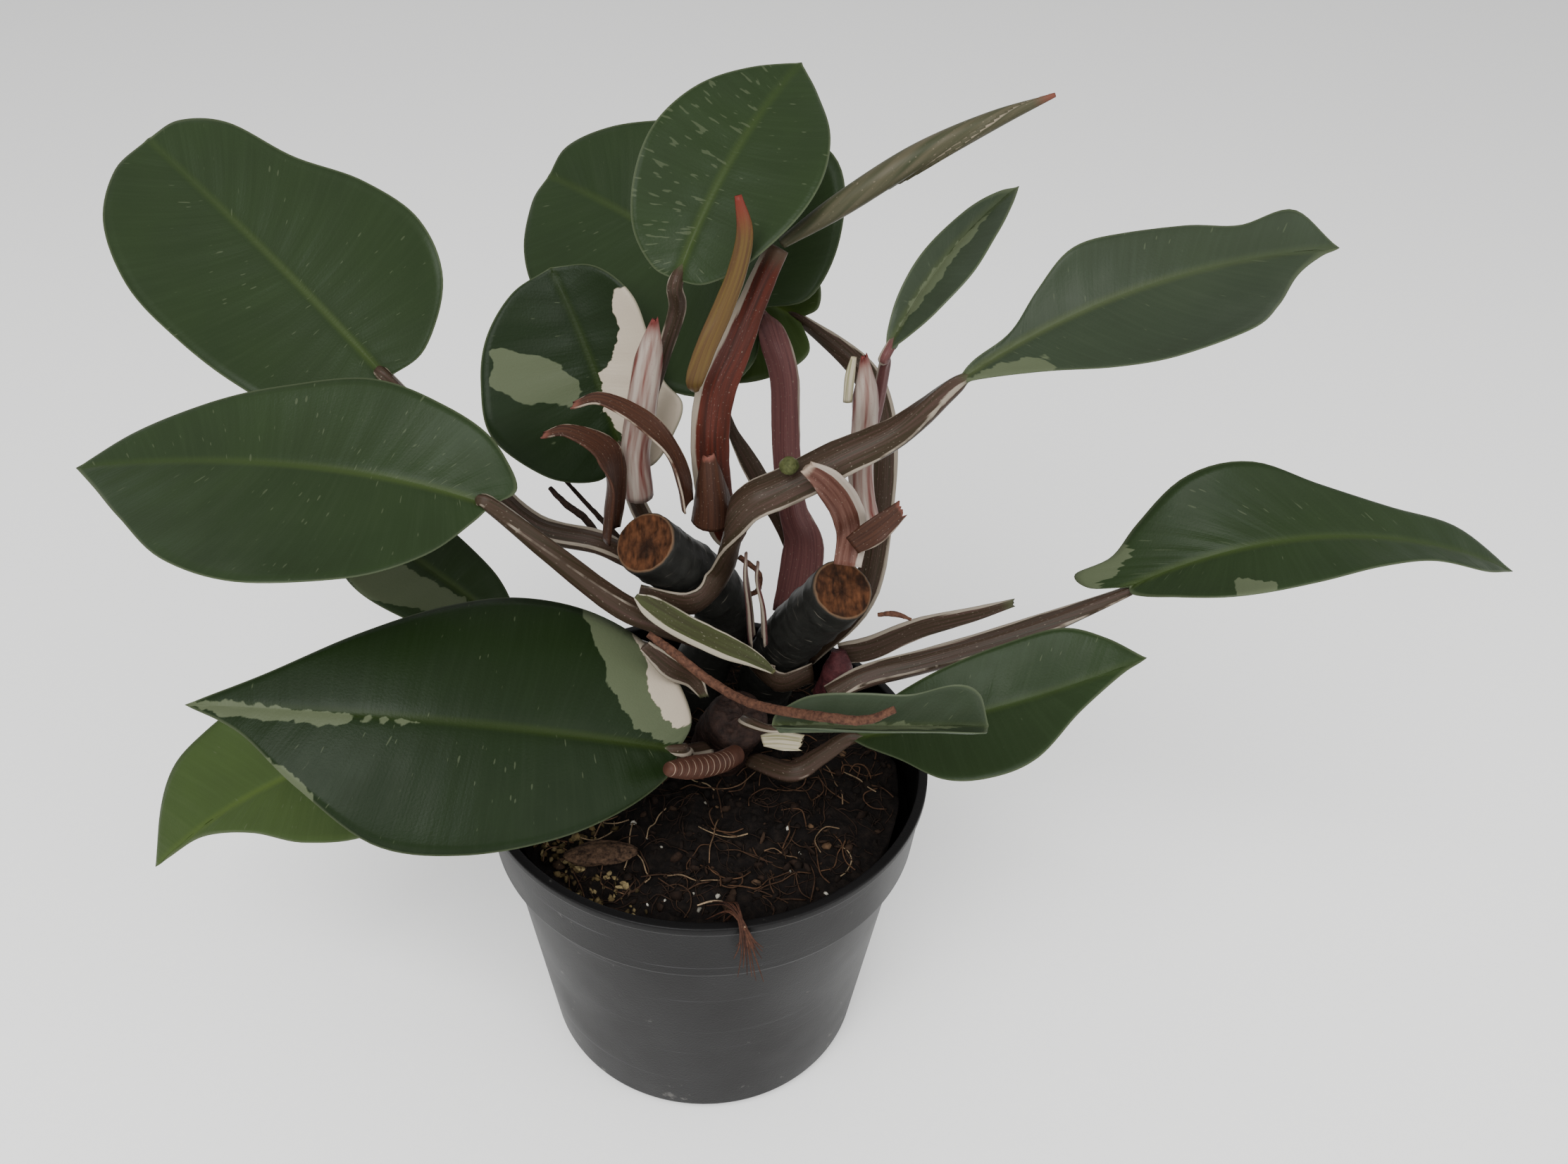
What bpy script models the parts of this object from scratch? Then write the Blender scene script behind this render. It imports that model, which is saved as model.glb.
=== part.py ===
"""Potted philodendron: a nursery pot of peat with three leaning stems, their leaves, sheaths and roots.

World frame in metres, +Z up, the pot's underside centre at the origin, +Y away from the front.
The tables below are in millimetres and are scaled once, when a mesh is made.
"""
import bpy
import bmesh
import math
from collections import namedtuple
from mathutils import Vector

MM = 0.001

# Pot
RIM_RADIUS = 60.0
POT_HEIGHT = 96.0
COLLAR_HEIGHT = 20.0
COLLAR_DRAFT = 2.0
COLLAR_STEP = 3.0
BASE_RADIUS = 44.5
POT_WALL = 1.3
RIM_LIP = 1.2
HOLE_RADIUS = 4.0
HOLE_COUNT = 6
HOLE_CIRCLE = 32.0

# Soil
SOIL_DEPTH_BELOW_RIM = 9.0
SOIL_CROWN = 2.5
CLEARANCE = 0.4

# Stems and leaves
STEM_RADIUS = 8.3
BLADE_THICKNESS = 0.8
LEAF_GAP = 0.5
JOINT_GAP = 1.2

SOIL_TOP = POT_HEIGHT - SOIL_DEPTH_BELOW_RIM
PLANT_LIFT = SOIL_TOP - 87.0

Leaf = namedtuple("Leaf", "name base mid tip face face_tip left right fold curl wave colour")
Band = namedtuple("Band", "name colour wrapped stations")

GREEN = (0.030, 0.060, 0.026)
BRIGHT_GREEN = (0.060, 0.105, 0.030)
DARK_GREEN = (0.018, 0.040, 0.022)
GREY_GREEN = (0.070, 0.090, 0.050)
TAUPE = (0.115, 0.085, 0.065)
MAROON = (0.070, 0.026, 0.026)
OLIVE = (0.075, 0.068, 0.032)
RED = (0.190, 0.040, 0.028)
CREAM = (0.420, 0.370, 0.300)
BROWN = (0.085, 0.042, 0.026)
TAN = (0.210, 0.140, 0.070)
PEAT = (0.012, 0.009, 0.008)


def lifted(point):
    """A point of the plant, in millimetres, raised with the soil it grows from."""
    return Vector((point[0], point[1], point[2] + PLANT_LIFT))


STEMS = {
    "stem_left": [(-6, 33, 63), (-3, 33, 92), (5, 23, 128), (-14, 0, 164)],
    "stem_right": [(17, 32, 63), (17, 32, 88), (22, 21, 116), (34, 0, 150)],
    "stem_front": [(4, 8, 63), (4, 6, 89), (6, 1, 102), (9, -6, 113)],
}

# A blade runs from its base over its middle to its tip. face is the way its upper side looks at the base and
# face_tip at the tip. left and right are the outline of each half, seen from above with the tip ahead: places
# (along, across) from the base. fold and curl, in degrees, lift the halves and their edges, and wave ripples them.
LEAVES = [
    Leaf("blade_upper_left", (-76, 23, 196), (-106, 49, 215), (-143, 79, 236), (-.2, -.6, .8), (-.2, -.5, .8),
         [(-2, 9), (8, 22), (25, 28), (45, 31), (65, 31), (83, 24), (94, 12)],
         [(-2, 12), (6, 27), (22, 33), (42, 30), (62, 22), (82, 17), (93, 9)], 6, (8, 14), 1.0, GREEN),
    Leaf("blade_left", (-47, -15, 184), (-92, -6, 189), (-149, 8, 180), (.0, -.5, .87), (.0, -.4, .9),
         [(3, 6), (11, 18), (26, 31), (46, 38), (68, 32), (86, 18), (98, 7)],
         [(-4, 6), (5, 14), (20, 19), (40, 23), (60, 19), (78, 14), (94, 8)], 5, (14, 10), 1.5, GREEN),
    Leaf("blade_lower_left", (-6, -27, 122), (-58, -40, 143), (-116, -38, 146), (-.1, -.6, .8), (.1, -.5, .85),
         [(3, 7), (14, 16), (30, 24), (50, 29), (70, 28), (88, 17), (102, 6)],
         [(-3, 9), (6, 23), (23, 32), (42, 34), (60, 29), (80, 19), (99, 8)], 4, (-10, -14), 1.5, DARK_GREEN),
    Leaf("blade_drooping", (-60, -6, 112), (-106, -16, 103), (-146, -22, 75), (-.1, -.35, .93), (-.6, -.5, .6),
         [(2, 8), (12, 20), (28, 28), (46, 22), (62, 11), (78, 3), (90, 1)],
         [(0, 8), (12, 18), (30, 24), (50, 25), (68, 22), (80, 19), (89, 12)], 6, (6, 6), 1.0, BRIGHT_GREEN),
    Leaf("blade_inner_left", (-55, 24, 121), (-76, 27, 140), (-96, 32, 152), (-.1, -.6, .8), (-.2, -.5, .8),
         [(2, 6), (10, 12), (22, 16), (34, 17), (43, 14), (49, 7)],
         [(1, 5), (8, 9), (17, 11), (27, 12), (37, 11), (45, 7)], 8, (10, 10), 0.8, GREEN),
    Leaf("blade_cream", (-20, 22, 175), (-28, 31, 198), (-37, 40, 217), (-.05, -.85, .5), (-.1, -.8, .6),
         [(-4, 8), (1, 20), (14, 29), (28, 27), (39, 21), (47, 11)],
         [(-4, 6), (2, 14), (8, 19), (14, 16), (23, 16), (34, 16), (44, 10)], 5, (10, 12), 1.0, CREAM),
    Leaf("blade_top", (-6, 10, 226), (6, 27, 247), (22, 48, 262), (-.1, -.75, .65), (.0, -.75, .65),
         [(1, 6), (7, 13), (17, 17), (28, 18), (39, 15), (50, 8)],
         [(1, 7), (8, 15), (20, 21), (32, 22), (44, 17), (54, 8)], 7, (12, 12), 1.0, GREY_GREEN),
    Leaf("blade_back", (14, 46, 204), (-12, 66, 216), (-42, 90, 223), (.0, -.8, .6), (.0, -.8, .6),
         [(-9, 12), (-6, 28), (12, 36), (34, 37), (52, 32), (65, 22), (73, 9)],
         [(-8, 10), (-4, 26), (8, 39), (28, 38), (48, 27), (64, 18), (73, 9)], 5, (10, 8), 1.5, GREY_GREEN),
    Leaf("blade_back_low", (25, 58, 196), (2, 74, 201), (-22, 90, 203), (.1, -.8, .6), (.0, -.8, .6),
         [(-8, 7), (-5, 17), (4, 26), (20, 29), (38, 22), (50, 10)],
         [(-3, 5), (2, 12), (15, 18), (30, 19), (44, 12), (53, 5)], 5, (8, 8), 1.0, BRIGHT_GREEN),
    Leaf("blade_narrow", (41, 10, 209), (55, 24, 226), (72, 36, 238), (-.4, -.6, .7), (-.4, -.6, .7),
         [(4, 2), (12, 4), (24, 5), (36, 4), (45, 2)],
         [(4, 4), (11, 9), (22, 12), (34, 9), (44, 4)], 20, (14, 10), 0.5, GREEN),
    Leaf("blade_right_upper", (55, 0, 206), (91, 2, 227), (135, 8, 234), (-.1, -.55, .8), (.1, -.5, .85),
         [(6, 2), (16, 3), (25, 8), (35, 13), (46, 13), (58, 11), (68, 8), (79, 9)],
         [(8, 4), (20, 11), (32, 19), (44, 25), (56, 26), (66, 17), (75, 7), (82, 2)], 6, (10, 22), 2.0, GREY_GREEN),
    Leaf("blade_right_lower", (104, 0, 151), (148, -2, 167), (203, 8, 150), (-.1, -.4, .9), (.1, -.35, .9),
         [(-9, 4), (-11, 9), (-1, 9), (8, 14), (22, 20), (38, 20), (54, 14), (72, 9), (90, 7)],
         [(1, 3), (9, 8), (24, 15), (44, 14), (62, 10), (78, 6), (93, 5)], 6, (8, 12), 2.0, GREEN),
    Leaf("blade_bottom_right", (37, -14, 114), (70, -19, 128), (107, -14, 140), (.0, -.35, .93), (.0, -.4, .9),
         [(2, 4), (14, 9), (30, 13), (46, 15), (60, 14), (69, 8)],
         [(4, 3), (14, 9), (24, 17), (34, 19), (44, 17), (56, 8), (68, 2)], 6, (10, 8), 1.0, GREEN),
    Leaf("blade_folded", (15, -38, 140), (38, -44, 145), (62, -46, 147), (.0, -.3, .95), (.1, -.5, .85),
         [(2, 3), (10, 7), (22, 8), (32, 8), (41, 11), (46, 8)],
         [(4, 3), (14, 6), (28, 5), (38, 4), (46, 5)], 35, (22, 22), 0.5, GREY_GREEN),
]


def spline(points, t):
    """A point on the Catmull-Rom curve through the points, with t from 0 to 1."""
    last = len(points) - 1
    place = min(max(t, 0.0), 1.0) * last
    i = min(int(place), last - 1)
    u = place - i
    b = Vector(points[i])
    c = Vector(points[i + 1])
    a = Vector(points[i - 1]) if i > 0 else b * 2 - c
    d = Vector(points[i + 2]) if i + 2 <= last else c * 2 - b
    return 0.5 * (b * 2 + (c - a) * u + (a * 2 - b * 5 + c * 4 - d) * u ** 2 + (b * 3 - a - c * 3 + d) * u ** 3)


def spline_tangent(points, t):
    """The unit direction of that curve at t."""
    step = 0.004
    return (spline(points, min(t + step, 1.0)) - spline(points, max(t - step, 0.0))).normalized()


# Roots and buds are round: places with a radius each.
ROUNDS = [
    ("bud_right", MAROON, [((33, 16, 103), 3), ((35, 12, 110), 4), ((36, 11, 116), 4), ((36, 12, 121), 2)]),
    ("root_long", BROWN, [((-13, -20, 152), .8), ((-8, -22, 149), 1.1), ((2, -28, 144), 1.1),
                          ((12, -37, 145), 1.1), ((26, -50, 153), 1.1), ((34, -52, 154), 1), ((40, -52, 157), .8)]),
    ("root_ringed", BROWN, [((8, -18, 112), 2.2), ((4, -26, 117), 2.6), ((-2, -35, 124), 2.6), ((-8, -43, 131), 1.6)]),
    ("root_upper", MAROON, [((-26, 22, 147), 1), ((-30, 22, 156), 1), ((-35, 22, 161), .9), ((-39, 22, 166), .6)]),
    ("root_upper_thin", OLIVE, [((-22, 28, 146), .8), ((-28, 28, 154), .7), ((-36, 28, 165), .5)]),
    ("root_loop", BROWN, [((12, 16, 137), .7), ((14, 14, 140), .7), ((14, 13, 146), .7), ((9, 13, 151), .7)]),
    ("knob_right", OLIVE, [((19.2, -6, 187.6), 1.4), ((19, -6.5, 189.2), 2.3), ((18.8, -7, 191), 1.2)]),
    ("rootlet", BROWN, [((43, -2, 144), .5), ((47, -3, 145), .7), ((51, -4, 144), .4)]),
]


def new_material(name, colour, roughness, metallic=0.0):
    material = bpy.data.materials.new(name)
    material.use_nodes = True
    shader = material.node_tree.nodes["Principled BSDF"]
    shader.inputs["Base Color"].default_value = (*colour, 1.0)
    shader.inputs["Roughness"].default_value = roughness
    shader.inputs["Metallic"].default_value = metallic
    return material


def add_object(name, data, collection, colour, roughness=0.6):
    """Put a mesh or curve in a collection, scaled from millimetres, with its own material."""
    obj = bpy.data.objects.new(name, data)
    obj.scale = (MM, MM, MM)
    data.materials.append(new_material(name, colour, roughness))
    collection.objects.link(obj)
    return obj


def add_mesh(name, points, faces, collection, colour, roughness=0.6):
    mesh = bpy.data.meshes.new(name)
    mesh.from_pydata([tuple(p) for p in points], [], faces)
    for face in mesh.polygons:
        face.use_smooth = True
    return add_object(name, mesh, collection, colour, roughness)


def turned(name, profile, collection, colour, steps=48, roughness=0.5):
    """A profile of (radius, height) points, down the outside first, turned about Z."""
    count = len(profile)
    mesh = bpy.data.meshes.new(name)
    mesh.from_pydata([(r, 0, z) for r, z in profile], [(i, (i + 1) % count) for i in range(count)], [])
    obj = add_object(name, mesh, collection, colour, roughness)
    screw = obj.modifiers.new("turn", "SCREW")
    screw.steps = steps
    screw.render_steps = steps
    screw.use_merge_vertices = True
    screw.merge_threshold = 0.00001
    screw.use_smooth_shade = True
    return obj


def turned_solid(name, profile, collection, colour, steps=48, roughness=0.9):
    """The same for a solid whose profile starts and ends on the axis."""
    obj = turned(name, profile, collection, colour, steps, roughness)
    mesh = obj.data
    mesh.clear_geometry()
    count = len(profile)
    mesh.from_pydata([(r, 0, z) for r, z in profile], [(i, i + 1) for i in range(count - 1)], [])
    return obj


def subtract(obj, cutter):
    cutter.hide_render = True
    cutter.display_type = "WIRE"
    boolean = obj.modifiers.new("cut_" + cutter.name, "BOOLEAN")
    boolean.operation = "DIFFERENCE"
    boolean.object = cutter


def rod(name, low, high, radius, collection, sides=16):
    """A straight round cutter between two points."""
    axis = high - low
    mesh = bpy.data.meshes.new(name)
    shape = bmesh.new()
    bmesh.ops.create_cone(shape, cap_ends=True, segments=sides, radius1=radius, radius2=radius, depth=axis.length)
    shape.to_mesh(mesh)
    shape.free()
    obj = bpy.data.objects.new(name, mesh)
    obj.scale = (MM, MM, MM)
    obj.location = (low + high) / 2 * MM
    obj.rotation_euler = axis.to_track_quat("Z", "Y").to_euler()
    collection.objects.link(obj)
    return obj


def tube_curve(name, stations, resolution=2):
    """A round curve through places that each have a radius, with closed ends."""
    curve = bpy.data.curves.new(name, "CURVE")
    curve.dimensions = "3D"
    curve.bevel_depth = 1.0
    curve.bevel_resolution = resolution
    curve.use_fill_caps = True
    line = curve.splines.new("POLY")
    line.points.add(len(stations) - 1)
    for point, (place, radius) in zip(line.points, stations):
        point.co = (*place, 1)
        point.radius = radius
    line.use_smooth = True
    return curve


def smooth_stations(stations, count):
    """Places and radii read evenly from the smooth curve through the given ones."""
    places = [lifted(place) for place, radius in stations]
    radii = [(radius, 0, 0) for place, radius in stations]
    ts = [i / (count - 1) for i in range(count)]
    return [(spline(places, t), spline(radii, t).x) for t in ts]


def build_pot(collection, cutters):
    outer_step = RIM_RADIUS - COLLAR_DRAFT
    body_top = outer_step - COLLAR_STEP
    collar_bottom = POT_HEIGHT - COLLAR_HEIGHT
    profile = [
        (RIM_RADIUS - POT_WALL - RIM_LIP, POT_HEIGHT),
        (RIM_RADIUS, POT_HEIGHT),
        (RIM_RADIUS, POT_HEIGHT - 2),
        (outer_step, collar_bottom),
        (body_top, collar_bottom - 0.5),
        (BASE_RADIUS + 1.5, 2.5),
        (BASE_RADIUS, 0.8),
        (BASE_RADIUS - 1.5, 0),
        (0, 0),
        (0, POT_WALL),
        (BASE_RADIUS - POT_WALL - 1, POT_WALL),
        (body_top - POT_WALL, collar_bottom - 1.0),
        (outer_step - POT_WALL, collar_bottom + 1.0),
    ]
    pot = turned("pot", profile, collection, (0.045, 0.043, 0.045), 64, 0.45)
    for i in range(HOLE_COUNT):
        angle = 2 * math.pi * i / HOLE_COUNT
        low = Vector((HOLE_CIRCLE * math.cos(angle), HOLE_CIRCLE * math.sin(angle), -2))
        high = low + Vector((0, 0, POT_WALL + 4))
        subtract(pot, rod("drain_%d" % i, low, high, HOLE_RADIUS, cutters))
    return pot


def soil_radius(z):
    """The soil's radius inside the tapering wall at a height."""
    collar_bottom = POT_HEIGHT - COLLAR_HEIGHT
    body_top = RIM_RADIUS - COLLAR_DRAFT - COLLAR_STEP
    share = (z - POT_WALL) / (collar_bottom - 1.0 - POT_WALL)
    low = BASE_RADIUS - POT_WALL - 1
    return low + (body_top - POT_WALL - low) * min(share, 1.0) - CLEARANCE


def build_soil(collection, cutters):
    floor = POT_WALL + CLEARANCE
    shoulder = POT_HEIGHT - COLLAR_HEIGHT - 1.0
    top_radius = soil_radius(shoulder)
    profile = [
        (0, SOIL_TOP + SOIL_CROWN),
        (top_radius * 0.5, SOIL_TOP + SOIL_CROWN * 0.8),
        (top_radius * 0.85, SOIL_TOP + SOIL_CROWN * 0.3),
        (top_radius, SOIL_TOP - 1.0),
        (top_radius, shoulder),
        (soil_radius(floor), floor),
        (0, floor),
    ]
    soil = turned_solid("soil", profile, collection, PEAT, 40)
    for name, path in STEMS.items():
        low = lifted(path[0])
        high = lifted(path[1])
        direction = (high - low).normalized()
        pocket = rod("pocket_" + name, low - direction * CLEARANCE, high + direction * 12,
                     STEM_RADIUS + 1.5 * CLEARANCE, cutters, 24)
        subtract(soil, pocket)
    return soil


def build_stems(collection):
    for name, path in STEMS.items():
        count = 9
        places = [lifted(p) for p in path]
        stations = [(places[0], STEM_RADIUS)]
        stations += [(spline(places, (1 + i / (count - 1) * 2) / 3), STEM_RADIUS) for i in range(count)]
        add_object(name, tube_curve(name, stations, 4), collection, (0.032, 0.034, 0.022), 0.6)


def outline(leaf, length, turn, side):
    """The flat outline of one half of a blade: turn is 0 at the base and 1 at the tip."""
    edge = leaf.right if side > 0 else leaf.left
    route = [(0, 0, 0)] + [(along, across, 0) for along, across in edge] + [(length, 0, 0)]
    place = spline(route, turn)
    return place.x, max(place.y, 0.0)


def blade_frame(leaf, length, x):
    """The midrib's place at x millimetres from the base, with its direction, side and normal."""
    base, mid, tip = lifted(leaf.base), lifted(leaf.mid), lifted(leaf.tip)
    handle = mid * 2 - (base + tip) / 2
    t = min(max(x / length, 0.0), 1.0)
    place = base * (1 - t) ** 2 + handle * 2 * t * (1 - t) + tip * t ** 2
    ahead = ((handle - base) * (1 - t) + (tip - handle) * t).normalized()
    if x < 0:
        place = base + ahead * x
    face = Vector(leaf.face).lerp(Vector(leaf.face_tip), t)
    normal = (face - ahead * face.dot(ahead)).normalized()
    return place, ahead, ahead.cross(normal), normal


def blade_length(leaf):
    base, mid, tip = Vector(leaf.base), Vector(leaf.mid), Vector(leaf.tip)
    return (mid - base).length + (tip - mid).length


def blade_point(leaf, length, x, across, side):
    """Where a point of the flat blade lies once it is folded, curled and waved."""
    place, ahead, sideways, normal = blade_frame(leaf, length, x)
    edge = leaf.right if side > 0 else leaf.left
    curl = leaf.curl[1] if side > 0 else leaf.curl[0]
    reach = across / max(width for along, width in edge)
    angle = math.radians(leaf.fold + curl * reach)
    ripple = leaf.wave * math.sin(9.0 * x / length + side) * reach ** 2
    return place + sideways * side * across * math.cos(angle) + normal * (across * math.sin(angle) + ripple)


FRONT = (0, -1, .4)
BEHIND = (0, 1, -.2)
UP = (0, -.3, 1)
LEFT = (-1, -.2, .4)
RIGHT = (1, -.3, .3)


def joint(name, drop=0.5):
    """Where a petiole ends: just behind the base of its blade, a little under it."""
    leaf = next(leaf for leaf in LEAVES if leaf.name == name)
    place, ahead, sideways, normal = blade_frame(leaf, blade_length(leaf), 0)
    place = place - ahead * JOINT_GAP - normal * drop
    return place.x, place.y, place.z - PLANT_LIFT


def seat(stem, t, around, thickness, out=0.0):
    """A point off a stem's bark, around degrees from its front, clear by half the thickness."""
    path = STEMS[stem]
    axis = spline_tangent(path, t)
    front = Vector((0, -1, 0))
    front = (front - axis * front.dot(axis)).normalized()
    side = axis.cross(front)
    side = side if side.x > 0 else -side
    angle = math.radians(around)
    radial = front * math.cos(angle) + side * math.sin(angle)
    return spline(path, t) + radial * (STEM_RADIUS + CLEARANCE + thickness / 2 + out)


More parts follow.
